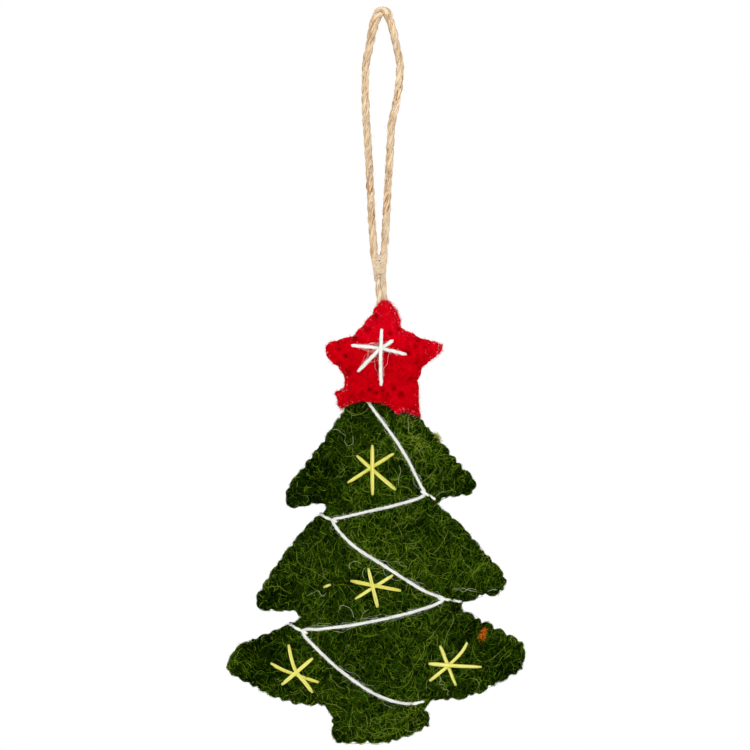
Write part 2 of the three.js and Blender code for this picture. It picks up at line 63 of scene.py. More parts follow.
camera_data = bpy.data.cameras.new("camera")
camera_data.sensor_width = sensor_width
camera_data.lens = sensor_width * view_distance / (picture_mm * mm * picture_pixels)
camera = bpy.data.objects.new("camera", camera_data)
camera.location = (view_middle[0], -view_distance, view_middle[1])
camera.rotation_euler = (math.radians(90), 0, 0)
bpy.context.collection.objects.link(camera)
bpy.context.scene.camera = camera
bpy.context.scene.view_settings.view_transform = "Standard"

world = bpy.data.worlds.new("room")
bpy.context.scene.world = world
world.use_nodes = True


def wire(tree, kind, settings=None, **inputs):
    """A new shader node, its settings made and each named input set or linked."""
    node = tree.nodes.new(kind)
    for key, value in (settings or {}).items():
        setattr(node, key, value)
    for key, value in inputs.items():
        socket = node.inputs[int(key[1:])] if key[1:].isdigit() else node.inputs[key.replace("_", " ")]
        if isinstance(value, bpy.types.NodeSocket):
            tree.links.new(value, socket)
        else:
            socket.default_value = value
    return node


def reckoned(tree, operation, *values):
    """What a math node makes of the values."""
    numbered = {f"i{n}": value for n, value in enumerate(values)}
    return wire(tree, "ShaderNodeMath", {"operation": operation}, **numbered).outputs[0]


def ranged(tree, value, low=0.0, high=1.0, to_low=0.0, to_high=1.0):
    """A value moved from one range to another."""
    return wire(tree, "ShaderNodeMapRange", Value=value, From_Min=low, From_Max=high, To_Min=to_low,
                To_Max=to_high).outputs[0]


def noise(tree, place, scale, detail, roughness=0.5):
    """Soft random shades over the given places."""
    return wire(tree, "ShaderNodeTexNoise", Vector=place, Scale=scale, Detail=detail, Roughness=roughness)


room = world.node_tree
room.nodes.clear()
rays = wire(room, "ShaderNodeLightPath").outputs
seen = reckoned(room, "MAXIMUM", rays["Is Camera Ray"], rays["Is Glossy Ray"])
seen = reckoned(room, "MAXIMUM", seen, rays["Is Transmission Ray"])
room_light = wire(room, "ShaderNodeBackground", Color=(1, 1, 1, 1), Strength=room_strength)
room_white = wire(room, "ShaderNodeBackground", Color=(1, 1, 1, 1), Strength=1.0)
room_mix = wire(room, "ShaderNodeMixShader", i0=seen, i1=room_light.outputs[0], i2=room_white.outputs[0])
wire(room, "ShaderNodeOutputWorld", Surface=room_mix.outputs[0])


def lamp(name, place, size, power):
    """A round soft lamp that looks at the ornament."""
    data = bpy.data.lights.new(name, "AREA")
    data.shape = "DISK"
    data.size = size
    data.energy = power
    lamp_object = bpy.data.objects.new(name, data)
    lamp_object.location = place
    lamp_object.rotation_euler = (Vector(lamp_aim) - Vector(place)).to_track_quat("-Z", "Y").to_euler()
    bpy.context.collection.objects.link(lamp_object)


lamp("key_lamp", (0.42, -0.66, 0.36), 0.3, 3.9)
lamp("fill_lamp", (-0.7, -0.55, -0.05), 0.6, 2.4)
lamp("back_lamp", (-0.3, 0.85, 0.3), 0.5, 5.0)

bpy.ops.object.select_all(action="DESELECT")
bpy.ops.mesh.primitive_circle_add(
    vertices=96, radius=floor_radius, fill_type="NGON", location=(0, 0, floor_level))
bpy.ops.object.transform_apply(location=True)
floor = bpy.context.object
floor.name = "floor"
floor_paint = bpy.data.materials.new("floor_paint")
floor_paint.use_nodes = True
paint = floor_paint.node_tree
floor_shader = paint.nodes["Principled BSDF"]
floor_shader.inputs["Roughness"].default_value = 0.9
floor_shader.inputs["Specular IOR Level"].default_value = 0.0
floor_place = wire(paint, "ShaderNodeTexCoord").outputs["Object"]
floor_grain = noise(paint, floor_place, 40.0, 3.0)
floor_shade = ranged(paint, floor_grain.outputs[0], to_low=0.9, to_high=0.92)
floor_colour = wire(paint, "ShaderNodeCombineColor", Red=floor_shade, Green=floor_shade, Blue=floor_shade)
paint.links.new(floor_colour.outputs[0], floor_shader.inputs["Base Color"])
floor_rays = wire(paint, "ShaderNodeLightPath").outputs
floor_far = wire(paint, "ShaderNodeVectorMath", {"operation": "LENGTH"}, i0=floor_place).outputs["Value"]
floor_fade = ranged(paint, floor_far, 0.36, 0.9, 0.35, 1.0)
floor_seen = reckoned(paint, "MULTIPLY", floor_fade, floor_rays["Is Camera Ray"])
floor_white = wire(paint, "ShaderNodeEmission", Color=(1, 1, 1, 1), Strength=1.0)
floor_mix = wire(paint, "ShaderNodeMixShader", i0=floor_seen, i1=floor_shader.outputs[0],
                 i2=floor_white.outputs[0])
paint.links.new(floor_mix.outputs[0], paint.nodes["Material Output"].inputs["Surface"])
floor.data.materials.append(floor_paint)

# The hanging loop: one length of natural jute twine, three plies laid up with a long twist.
# It goes up, turns over at the top and comes down again, and both legs are bound together at the fork.
# Loose bast fibres lie along the plies and a few stand off them.
loop_route_mm = [
    (-1.6, -66.0), (-2.0, -64.2), (-2.4, -62.4), (-2.75, -57.5), (-3.2, -51), (-3.45, -44.5),
    (-3.85, -38), (-4.15, -32), (-4.6, -26), (-4.75, -19.5), (-4.6, -12.5), (-3.95, -9), (-3.2, -5),
    (-2.6, -2.2), (-1.9, -0.2), (-1.1, 1.05), (-0.1, 1.45), (0.8, 0.95), (1.45, -0.5), (2.1, -2.6),
    (2.85, -5.5), (3.7, -9.5), (4.3, -13), (3.85, -18.5), (3.05, -23.5), (2.15, -27.5), (1.8, -32),
    (1.55, -37), (1.15, -43), (0.85, -49), (0.5, -55), (0.2, -60), (0.05, -62.4), (-0.2, -64.2),
    (-0.4, -66.0)]
twine_step = 0.3 * mm
twine_skin = 0.9 * mm
ply_radius = 0.56 * mm
ply_offset = 0.4 * mm
twist_pitch = 8.5 * mm
top_swell = 0.34
swell_before_top, swell_after_top = 7.5 * mm, 2.6 * mm
lying_count, fleck_count, stray_count = 1500, 170, 170
shade_columns = 24
any_angle = (0, 6.28)


def run_along(path):
    """How far along a path each of its points is."""
    return np.concatenate([[0], np.cumsum(np.linalg.norm(np.diff(path, axis=0), axis=1))])


def smooth_route(points, step):
    """Even points along a centripetal curve through the given ones."""
    p = np.array(points, float)
    p = np.vstack([2 * p[0] - p[1], p, 2 * p[-1] - p[-2]])
    dense = []
    for a, b, c, d in zip(p, p[1:], p[2:], p[3:]):
        spans = [max(np.linalg.norm(v - u), 1e-9) ** 0.5 for u, v in ((a, b), (b, c), (c, d))]
        knots = np.cumsum([0] + spans)
        t = np.linspace(knots[1], knots[2], 24, endpoint=False)[:, None]
        ab = a + (b - a) * (t - knots[0]) / (knots[1] - knots[0])
        bc = b + (c - b) * (t - knots[1]) / (knots[2] - knots[1])
        cd = c + (d - c) * (t - knots[2]) / (knots[3] - knots[2])
        abc = ab + (bc - ab) * (t - knots[0]) / (knots[2] - knots[0])
        bcd = bc + (cd - bc) * (t - knots[1]) / (knots[3] - knots[1])
        dense.append(abc + (bcd - abc) * (t - knots[1]) / (knots[2] - knots[1]))
    dense = np.vstack(dense + [p[-2:-1]])
    run = run_along(dense)
    even = np.linspace(0, run[-1], max(int(round(run[-1] / step)), 4) + 1)
    return np.stack([np.interp(even, run, dense[:, i]) for i in range(dense.shape[1])], axis=1)


def length_of(path):
    return float(np.linalg.norm(np.diff(path, axis=0), axis=1).sum())


def unit(ways):
    """The same ways, each of length 1."""
    return ways / np.maximum(np.linalg.norm(ways, axis=-1, keepdims=True), 1e-12)


def frames_along(paths):
    """Two directions across each path at each of its points, turning as little as they can."""
    tangent = unit(np.gradient(paths, axis=1))
    start = np.eye(3)[np.argmin(np.abs(tangent[:, 0]), axis=1)]
    normal = np.empty_like(paths)
    for k in range(paths.shape[1]):
        start = unit(start - (start * tangent[:, k]).sum(axis=1, keepdims=True) * tangent[:, k])
        normal[:, k] = start
    return normal, np.cross(tangent, normal)


def add_object(name, corners, faces, edges=()):
    mesh = bpy.data.meshes.new(name)
    mesh.from_pydata(corners, edges, faces)
    mesh.update()
    piece = bpy.data.objects.new(name, mesh)
    bpy.context.collection.objects.link(piece)
    return piece


def give_values(piece, name, values):
    """A number for each point of a piece, for its material to read."""
    piece.data.attributes.new(name, "FLOAT", "POINT").data.foreach_set("value", values)


def strands(name, paths, radius, sides, tints, cell=(0.0, 1.0)):
    """One closed round strand along each path, coming to a point at both ends.
    lay holds where a point is round and along its strand, and tint a number of its own per strand.
    The map gives each of a few strands its own column in the cell, and many strands one for each shade."""
    paths = np.asarray(paths, float)
    count, steps, _ = paths.shape
    radius = np.broadcast_to(np.asarray(radius, float), (count, steps))
    normal, across = frames_along(paths)
    angle = np.arange(sides) * 2 * math.pi / sides
    ring = normal[:, 1:-1, None] * np.cos(angle)[None, None, :, None]
    ring = ring + across[:, 1:-1, None] * np.sin(angle)[None, None, :, None]
    ring = paths[:, 1:-1, None] + ring * radius[:, 1:-1, None, None]
    each = (steps - 2) * sides + 2
    corners = np.concatenate([paths[:, :1], ring.reshape(count, -1, 3), paths[:, -1:]], axis=1)
    j = np.arange(sides)
    j_next = (j + 1) % sides
    row = 1 + np.arange(steps - 3)[:, None] * sides
    wall = np.stack([row + j, row + j_next, row + sides + j_next, row + sides + j], axis=-1).reshape(-1, 4)
    foot = np.stack([np.zeros(sides, int), 1 + j_next, 1 + j], axis=-1)
    last = 1 + (steps - 3) * sides
    head = np.stack([np.full(sides, each - 1), last + j, last + j_next], axis=-1)
    base = np.arange(count) * each
    faces = (wall[None] + base[:, None, None]).reshape(-1, 4).tolist()
    faces += (np.concatenate([foot, head])[None] + base[:, None, None]).reshape(-1, 3).tolist()
    piece = add_object(name, corners.reshape(-1, 3).tolist(), faces)
    along = np.concatenate(
        [np.zeros((count, 1)), np.cumsum(np.linalg.norm(np.diff(paths, axis=1), axis=2), axis=1)], axis=1)
    lay = np.zeros((count, each, 3))
    lay[:, 0, 2] = along[:, 0]
    lay[:, -1, 2] = along[:, -1]
    lay[:, 1:-1, 2] = np.repeat(along[:, 1:-1], sides, axis=1)
    lay[:, 1:-1, 0] = np.tile(np.cos(angle), steps - 2)
    lay[:, 1:-1, 1] = np.tile(np.sin(angle), steps - 2)
    lay[:, :, 2] /= mm
    piece.data.attributes.new("lay", "FLOAT_VECTOR", "POINT").data.foreach_set("vector", lay.ravel())
    tints = np.asarray(tints, float)
    give_values(piece, "tint", np.repeat(tints, each))
    columns = min(count, shade_columns)
    by_shade = np.clip(tints * shade_columns, 0, shade_columns - 1).astype(int)
    column = np.arange(count) if count <= shade_columns else by_shade
    across_map = (column[:, None] + 0.05 + 0.9 * np.arange(sides + 1)[None] / sides) / columns
    across_map = cell[0] + (cell[1] - cell[0]) * across_map
    along_map = along / along.max()
    u = np.stack([across_map[:, :-1], across_map[:, 1:], across_map[:, 1:], across_map[:, :-1]], axis=-1)
    v = np.stack([along_map[:, 1:-2], along_map[:, 1:-2], along_map[:, 2:-1], along_map[:, 2:-1]], axis=-1)
    walls = np.stack(np.broadcast_arrays(u[:, None], v[:, :, None]), axis=-1)
    middle = (across_map[:, :-1] + across_map[:, 1:]) / 2
    ends = np.empty((count, 2, sides, 3, 2))
    ends[:, 0, :, :, 0] = np.stack([middle, across_map[:, 1:], across_map[:, :-1]], axis=-1)
    ends[:, 1, :, :, 0] = np.stack([middle, across_map[:, :-1], across_map[:, 1:]], axis=-1)
    ends[:, 0, :, :, 1] = along_map[:, [0, 1, 1]][:, None]
    ends[:, 1, :, :, 1] = along_map[:, [-1, -2, -2]][:, None]
    map_places = np.concatenate([walls.ravel(), ends.ravel()])
    piece.data.uv_layers.new(name="OFBake").data.foreach_set("uv", map_places)
    piece.data.shade_smooth()
    return piece


def twisted(path, plies, offset, pitch, phase=0.0):
    """The centre lines of plies laid round a path, one turn to each pitch."""
    normal, across = frames_along(path[None])
    angle = phase + 2 * math.pi * (run_along(path)[None] / pitch + np.arange(plies)[:, None] / plies)
    offset = np.broadcast_to(offset, len(path))[None, :, None]
    return path[None] + offset * (normal * np.cos(angle)[..., None] + across * np.sin(angle)[..., None])


def wavy(count, steps, waves, amount, dice):
    """Slow even swings about 1, one row for each strand."""
    t = np.linspace(0, 2 * math.pi, steps)
    swing = np.zeros((count, steps))
    for _ in range(5):
        swing += np.sin(t * dice.uniform(0.4, 1.6, (count, 1)) * waves + dice.uniform(*any_angle, (count, 1)))
    return 1 + amount * swing / 2.2


def lying_fibres(plies, radius, count, length, dice, lift=1.0, points=8):
    """Short thin fibres that lie along the skin of the plies."""
    normal, across = frames_along(plies)
    steps = plies.shape[1]
    radius = np.broadcast_to(radius, steps)
    step = np.linalg.norm(plies[0, 1] - plies[0, 0])
    paths = np.empty((count, points, 3))
    for i in range(count):
        span = min(int(dice.uniform(*length) / step), steps - 2)
        first = dice.integers(0, steps - span)
        k = np.linspace(first, first + span, points).round().astype(int)
        ply = dice.integers(0, len(plies))
        angle = dice.uniform(*any_angle) + np.linspace(0, dice.uniform(-1.2, 1.2), points)
        rise = radius[k] * (lift + 0.12 * np.sin(np.linspace(0, math.pi, points)))
        rise[[0, -1]] = radius[k[[0, -1]]] * 0.9
        paths[i] = plies[ply, k] + rise[:, None] * (
            normal[ply, k] * np.cos(angle)[:, None] + across[ply, k] * np.sin(angle)[:, None])
    return paths


def stray_fibres(spots, outward, length, curl, dice, points=7):
    """Loose fibres that leave a surface at the spots and curl as they go."""
    count = len(spots)
    heading = unit(outward + dice.normal(0, 0.45, (count, 3)))
    step = dice.uniform(*length, (count, 1)) / (points - 1)
    bend = dice.normal(0, curl, (count, 3))
    paths = np.empty((count, points, 3))
    paths[:, 0] = spots - heading * 0.1 * mm
    for k in range(1, points):
        heading = unit(heading + np.cross(bend, heading) + dice.normal(0, curl * 0.3, (count, 3)))
        paths[:, k] = paths[:, k - 1] + heading * step
    return paths


def select_only(*pieces):
    """Selects these pieces and no other, with the first one active."""
    bpy.ops.object.select_all(action="DESELECT")
    for piece in pieces:
        piece.select_set(True)
    bpy.context.view_layer.objects.active = pieces[0]


def joined(name, pieces):
    """The pieces made into one object of that name."""
    select_only(*pieces)
    bpy.ops.object.join()
    pieces[0].name = name
    pieces[0].data.name = name
    return pieces[0]


def srgb(red, green, blue):
    """A colour as it is read off a screen, in the linear numbers that a shader takes."""
    return tuple(c / 255 / 12.92 if c <= 10 else ((c / 255 + 0.055) / 1.055) ** 2.4
                 for c in (red, green, blue)) + (1.0,)


def ramp(tree, value, stops):
    """The colour at a value, going over from each stop to the next."""
    node = wire(tree, "ShaderNodeValToRGB", i0=value)
    while len(node.color_ramp.elements) < len(stops):
        node.color_ramp.elements.new(1.0)
    for element, (place, colour) in zip(node.color_ramp.elements, stops):
        element.position = place
        element.color = colour
    return node.outputs[0]


def finish_of(name, roughness, sheen, specular):
    """A new material, its nodes and its shader."""
    material = bpy.data.materials.new(name)
    material.use_nodes = True
    shader = material.node_tree.nodes["Principled BSDF"]
    shader.inputs["Roughness"].default_value = roughness
    shader.inputs["Specular IOR Level"].default_value = specular
    shader.inputs["Sheen Weight"].default_value = sheen
    shader.inputs["Sheen Roughness"].default_value = 0.5
    return material, material.node_tree, shader


def new_group(name, takes, gives):
    """A shader node group with its sockets, and the sockets of what it is given."""
    group = bpy.data.node_groups.new(name, "ShaderNodeTree")
    for in_out, sockets in (("INPUT", takes), ("OUTPUT", gives)):
        for socket_name, kind in sockets:
            group.interface.new_socket(socket_name, in_out=in_out, socket_type="NodeSocket" + kind)
    return group, wire(group, "NodeGroupInput").outputs


def spun_streaks():
    """Spun fibre: fine streaks along the strand and slow patches down its length, added to its tint."""
    group, given = new_group("spun_streaks", [("Lay", "Vector"), ("Tint", "Float"), ("Streak", "Float")],
                             [("Shade", "Float"), ("Streaks", "Float")])
    drawn = wire(group, "ShaderNodeMapping", Vector=given["Lay"], Scale=(2.2, 2.2, 0.22))
    streaks = noise(group, drawn.outputs[0], 1.6, 4.0, 0.65).outputs[0]
    patches = noise(group, given["Lay"], 0.18, 2.0).outputs[0]
    swing = ranged(group, streaks, 0.25, 0.75, -1.0, 1.0)
    slow = ranged(group, patches, 0.3, 0.7, -0.5, 0.5)
    both = reckoned(group, "ADD", swing, slow)
    shade = reckoned(group, "MULTIPLY_ADD", both, given["Streak"], given["Tint"])
    wire(group, "NodeGroupOutput", Shade=shade, Streaks=streaks)
    return group


spun = spun_streaks()


def fibre_finish(name, stops, streak, roughness=0.85, sheen=0.1, bump=0.4, specular=0.1):
    """Spun or loose fibre: its colour goes by the strand's tint and by the streaks along it."""
    material, tree, shader = finish_of(name, roughness, sheen, specular)
    lay = wire(tree, "ShaderNodeAttribute", {"attribute_name": "lay"})
    tint = wire(tree, "ShaderNodeAttribute", {"attribute_name": "tint"})
    fibre = wire(tree, "ShaderNodeGroup", {"node_tree": spun}, Lay=lay.outputs["Vector"],
                 Tint=tint.outputs["Fac"], Streak=streak).outputs
    tree.links.new(ramp(tree, fibre["Shade"], stops), shader.inputs["Base Color"])
    rough = ranged(tree, fibre["Streaks"], to_low=roughness - 0.1, to_high=min(roughness + 0.12, 1.0))
    tree.links.new(rough, shader.inputs["Roughness"])
    if bump:
        relief = wire(tree, "ShaderNodeBump", Strength=bump, Distance=0.1 * mm, Height=fibre["Streaks"])
        tree.links.new(relief.outputs[0], shader.inputs["Normal"])
    return material


jute = fibre_finish("jute_twine", [
    (0.0, srgb(160, 98, 50)), (0.1, srgb(182, 128, 80)), (0.25, srgb(206, 172, 130)),
    (0.55, srgb(232, 207, 171)), (0.85, srgb(246, 230, 204)), (1.0, srgb(252, 245, 230))], streak=0.28)

dice = np.random.default_rng(11)
loop_path = smooth_route([(x * mm, 0, z * mm) for x, z in loop_route_mm], twine_step)
loop_run = np.arange(len(loop_path)) * length_of(loop_path) / (len(loop_path) - 1)
past_top = loop_run - loop_run[loop_path[:, 2].argmax()]
swell_reach = np.where(past_top < 0, swell_before_top, swell_after_top)
swell = 1 + top_swell * np.exp(-(past_top / swell_reach) ** 2)
loop_plies = twisted(loop_path, 3, ply_offset * swell, twist_pitch)
loop_core = strands("loop_core", loop_plies, ply_radius * swell * wavy(3, len(loop_path), 22, 0.07, dice),
                    12, [0.42, 0.55, 0.5], (0, 0.5))
loop_skin = strands(
    "loop_skin", lying_fibres(loop_plies, ply_radius * swell, lying_count, (4 * mm, 14 * mm), dice),
    dice.uniform(0.045 * mm, 0.085 * mm, (lying_count, 1)), 3, dice.uniform(0.15, 0.95, lying_count),
    (0.5, 0.9))
loop_flecks = strands(
    "loop_flecks", lying_fibres(loop_plies, ply_radius * swell, fleck_count, (1.2 * mm, 4 * mm), dice, 1.06),
    dice.uniform(0.07 * mm, 0.13 * mm, (fleck_count, 1)), 3, dice.uniform(0.0, 0.14, fleck_count), (0.9, 1))
spot = dice.integers(20, len(loop_path) - 20, stray_count)
side = unit(dice.normal(0, 1, (stray_count, 3)))
loop_stray = strands("hanging_twine_fuzz", stray_fibres(
    loop_path[spot] + side * (twine_skin * swell[spot])[:, None],
    side * 0.5 + np.gradient(loop_path, axis=0)[spot] / twine_step, (0.8 * mm, 2.4 * mm), 0.2, dice),
    0.03 * mm, 3, dice.uniform(0.5, 1.0, stray_count))
loop = joined("hanging_twine", [loop_core, loop_skin, loop_flecks])
for piece in (loop, loop_stray):
    piece.data.materials.append(jute)
    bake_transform(piece)
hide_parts("hanging_loop")

# The neck: below the fork both legs run on side by side, flattened against each other,
# and go in between the two felts of the star, where they are sewn down.
neck_route_mm = [
    (-1.2, -61.8, 1.1), (-1.1, -65, 1.0), (-0.8, -69, 1.0), (-0.5, -73, 1.0), (-0.3, -78, 0.9),
    (-0.2, -84, 0.9)]
neck_spread = 0.66 * mm
neck_ply_radius = 0.51 * mm
neck_ply_offset = 0.3 * mm
neck_fibres = 240
neck_pieces = []
for spread in (-neck_spread, neck_spread):
    neck_path = smooth_route(
        [(x * mm + spread * share, 0, z * mm) for x, z, share in neck_route_mm], twine_step)
    neck_plies = twisted(neck_path, 2, neck_ply_offset, twist_pitch * 0.9, 0.6 + spread * 900)
    neck_thickness = neck_ply_radius * wavy(2, len(neck_path), 8, 0.06, dice)
    neck_pieces.append(strands("neck_core", neck_plies, neck_thickness, 12, [0.66, 0.76], (0, 0.5)))
    neck_pieces.append(strands(
        "neck_skin", lying_fibres(neck_plies, neck_ply_radius, neck_fibres, (3 * mm, 10 * mm), dice),
        0.06 * mm, 3, dice.uniform(0.35, 1.0, neck_fibres), (0.5, 1)))
neck = joined("neck_twine", neck_pieces)
neck.data.materials.append(jute)
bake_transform(neck)
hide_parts("neck_strand_left", "neck_strand_right", "cord_tail_left", "cord_tail_right")

# The binding: a thin web of the twine's own fibre, matted over both legs at the fork,
# with one pale thread round it. Its ends are left to fray out.
web_count = 640
web_steps = 9
web_levels = (-68.4, -65.0, -61.5)
web_middle = -1.15
fray_count = 60


def smoothstep(x, low, high):
    """0 below the low end, 1 above the high one, and a soft step between them."""
    t = np.clip((x - low) / (high - low), 0, 1)
    return t * t * (3 - 2 * t)


along_web = np.linspace(-0.5, 0.5, web_steps)
around = dice.uniform(*any_angle, (web_count, 1)) + along_web * dice.normal(0, 1.1, (web_count, 1))
level = dice.triangular(*web_levels, (web_count, 1)) + along_web * dice.normal(0, 1.6, (web_count, 1))
lean = 1 - smoothstep(level, -68.5, -62.0)
half_width = 1.86 - 0.36 * lean
web_x = web_middle + 0.18 * lean + half_width * np.cos(around)
web = np.stack([web_x, 1.06 * np.sin(around), level], axis=-1) * mm
web[:, [0, -1], 1] *= 0.8
thread_turn = np.linspace(1.4, 5.0, 40)
pale_thread = np.stack([-1.12 + 2.0 * np.cos(thread_turn), 1.2 * np.sin(thread_turn),
                        -64.2 + 0.24 * thread_turn], axis=-1) * mm
pale_thread[[0, 1, -2, -1], 1] *= 0.85
binding_web = strands("binding_web", web, dice.uniform(0.05 * mm, 0.09 * mm, (web_count, 1)), 3,
                      np.clip(dice.normal(0.66, 0.18, web_count), 0.05, 0.98), (0, 0.8))
binding_thread = strands("binding_thread", pale_thread[None], 0.09 * mm, 6, [0.95], (0.8, 0.9))
pick = dice.integers(0, web_count, fray_count)
fray_start = web[pick, web_steps // 2]
fray_way = (fray_start - np.array((web_middle * mm, 0, 0))) * (1, 1, 0) / (2 * mm) + (0, 0, -0.5)
binding_fray = strands("binding_fray", stray_fibres(fray_start, fray_way, (0.5 * mm, 1.6 * mm), 0.3, dice),
                       0.03 * mm, 3, dice.uniform(0.5, 1.0, fray_count), (0.9, 1))
binding = joined("fibre_binding", [binding_web, binding_thread, binding_fray])
binding.data.materials.append(jute)
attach(binding, "neck")
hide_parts("cord_binding")

# The tree: two cut-outs of thick dark green wool felt, laid together and whipped round the edge,
# with a loose fibre filling that crowns both faces. The tight stitches pull the edge into small lobes.
tree_corners = [
    (-3.1, -90.4, 2.5), (-13.8, -107.8, 6), (-25.5, -123.2, 3), (-25.3, -128.2, 1.6),
    (-11.9, -125.2, 0.7), (-15.0, -129.0, 1.0), (-17.4, -130.0, 2), (-22.1, -134.8, 5),
    (-28.0, -142.6, 8), (-33.5, -151.4, 2), (-32.1, -154.3, 1.8), (-19.6, -154.4, 0.7),
    (-22.6, -157.6, 1.0), (-25, -158.4, 2), (-38.4, -163.8, 4), (-41.3, -169.8, 2.2), (-26.8, -177.7, 9),
    (-14.0, -179.4, 1.0), (-12.9, -188.7, 2.6), (2.2, -188.4, 4), (8.2, -186.0, 2), (12.3, -184.0, 1.6),
    (10.4, -177.8, 1.2), (22.8, -176.8, 9), (36, -169.7, 3.2), (36.9, -163.2, 2.4), (25.8, -156.9, 5),
    (16.5, -152.5, 0.7), (30.9, -149.8, 2.4), (32.2, -146, 2.2), (25.8, -138.7, 6), (20.1, -132.2, 6),
    (15.2, -128.0, 1.5), (11.2, -125.9, 0.4), (14.4, -125.1, 0.8), (23.3, -124.0, 2.4),
    (24.3, -121.2, 2.2)]
tree_top = -90.4 * mm
tree_crown = 8.1 * mm
tree_thickness = 3.6 * mm
tree_mesh = 1.28 * mm
filling_pressure = 4.0
filling_rise = 9 * mm
stitch_pitch = 3.1 * mm
tight_places = [
    (27, -158, 8, 0.9), (20, -116, 6, 0.4), (30, -143, 5, 0.4), (-14, -183, 5, 0.4), (11, -182, 4, 0.5),
    (-33, -174, 8, 0.1), (-21, -179, 7, 0.2), (30, -173, 6, 0.3)]
# Painted shading, as (x, z, reach, amount) in mm: painted shade at the tiers' tips, in the notches and under
# the star, and painted highlights where the amount is below 0.
painted_shading_spots = [
    (-23, -125.5, 8, 1), (-30, -153, 6, 0.9), (-36, -167, 11, 0.85), (31, -165, 8, 0.5),
    (22, -123.5, 5, 0.9), (-15, -118, 6, 0.8), (0, -103, 6, 0.8), (2, -166, 11, 0.38), (6, -109, 6, -1.1),
    (0, -184, 8, -0.7), (2, -136, 9, -0.3), (15, -117, 5, -0.1), (-41, -168, 3.6, -1.9),
    (36.5, -164.5, 3, -0.9), (30, -160, 2.5, -0.7)]


def eased_outline(corners, step):
    """The cut edge through the corners, each eased over its own length, as even points."""
    p = np.array([c[:2] for c in corners], float) * mm
    ease = np.array([c[2] for c in corners], float) * mm
    count = len(p)
    dense = []
    for i in range(count):
        before, after = p[i - 1] - p[i], p[(i + 1) % count] - p[i]
        a = p[i] + before * min(ease[i] / np.linalg.norm(before), 0.5)
        b = p[i] + after * min(ease[i] / np.linalg.norm(after), 0.5)
        through = 2 * p[i] - (a + b) / 2
        t = np.linspace(0, 1, 12)[:, None]
        dense.append((1 - t) ** 2 * a + 2 * t * (1 - t) * (0.5 * p[i] + 0.5 * through) + t ** 2 * b)
    dense = np.vstack(dense + [dense[0][:1]])
    run = run_along(dense)
    even = np.linspace(0, run[-1], int(run[-1] / step), endpoint=False)
    return np.stack([np.interp(even, run, dense[:, i]) for i in range(2)], axis=1)


def edge_length(outline):
    """The length once round a closed outline."""
    return length_of(np.vstack([outline, outline[:1]]))


def edge_places(points, outline, at_once=3000):
    """For each point: how far inside the outline it is, how far along it, and the way in from it."""
    a = outline
    b = np.roll(outline, -1, axis=0)
    side = b - a
    size = np.linalg.norm(side, axis=1)
    run = np.concatenate([[0], np.cumsum(size)[:-1]])
    turn = np.sign((a[:, 0] * b[:, 1] - b[:, 0] * a[:, 1]).sum())
    depth = np.empty(len(points))
    along = np.empty(len(points))
    inward = np.empty((len(points), 2))
    for first in range(0, len(points), at_once):
        rows = slice(first, first + at_once)
        p = points[rows]
        gap = p[:, None] - a[None]
        t = np.clip((gap * side[None]).sum(axis=2) / (size ** 2)[None], 0, 1)
        away = gap - t[..., None] * side[None]
        far = np.linalg.norm(away, axis=2)
        near = far.argmin(axis=1)
        each = np.arange(len(p))
        crossing = ((a[None, :, 1] > p[:, None, 1]) != (b[None, :, 1] > p[:, None, 1])) & (
            p[:, None, 0] < side[None, :, 0] * (p[:, None, 1] - a[None, :, 1])
            / np.where(side[:, 1] == 0, 1e-12, side[:, 1])[None] + a[None, :, 0])
        inside = crossing.sum(axis=1) % 2 == 1
        depth[rows] = np.where(inside, 1, -1) * far[each, near]
        along[rows] = run[near] + t[each, near] * size[near]
        inward[rows] = np.stack([-side[near, 1], side[near, 0]], axis=1) / size[near, None] * turn
    return depth, along, inward


def nearest_along(along, spots, run):
    """For each place along a closed edge: how far off the nearest of the spots is, and which one it is."""
    gap = np.abs(along[:, None] - spots[None])
    gap = np.minimum(gap, run - gap)
    near = gap.argmin(axis=1)
    return gap[np.arange(len(gap)), near], near


def mound(gap, reach):
    """1 where the gap is nothing, and less the wider it is."""
    return np.exp(-(gap / reach) ** 2)


def patch_at(places, x, z, reach):
    """1 at (x, z), and less round it, all in mm."""
    return np.exp(-((places[:, 0] - x * mm) ** 2 + (places[:, 2] - z * mm) ** 2) / (reach * mm) ** 2)


def lumps(points, size, dice, waves=48):
    """A soft random swell over space, about -1 to 1."""
    way = dice.normal(0, 1, (waves, 3))
    way *= (2 * math.pi / size * dice.uniform(0.7, 1.4, waves) / np.linalg.norm(way, axis=1))[:, None]
    phase = dice.uniform(*any_angle, waves)
    return np.cos(points @ way.T + phase).sum(axis=1) / math.sqrt(waves)


def places_of(piece):
    co = np.empty(len(piece.data.vertices) * 3)
    piece.data.vertices.foreach_get("co", co)
    return co.reshape(-1, 3)


def set_places(piece, co):
    piece.data.vertices.foreach_set("co", np.ascontiguousarray(co, dtype=np.float32).ravel())
    piece.data.update()


def slab(name, outline, thickness):
    """The outline filled and extruded to a closed slab about the seam plane."""
    count = len(outline)
    piece = add_object(name, [(x, -thickness / 2, z) for x, z in outline], [],
                       [(i, (i + 1) % count) for i in range(count)])
    select_only(piece)
    bpy.ops.object.mode_set(mode="EDIT")
    bpy.ops.mesh.select_all(action="SELECT")
    bpy.ops.mesh.edge_face_add()
    bpy.ops.mesh.extrude_region_move(TRANSFORM_OT_translate={"value": (0, thickness, 0)})
    bpy.ops.mesh.select_all(action="SELECT")
    bpy.ops.mesh.normals_make_consistent(inside=False)
    bpy.ops.object.mode_set(mode="OBJECT")
    return piece


def apply_all(piece):
    select_only(piece)
    for modifier in list(piece.modifiers):
        bpy.ops.object.modifier_apply(modifier=modifier.name)


def remeshed(piece, size):
    modifier = piece.modifiers.new("even_mesh", "REMESH")
    modifier.mode = "VOXEL"
    modifier.voxel_size = size
    apply_all(piece)


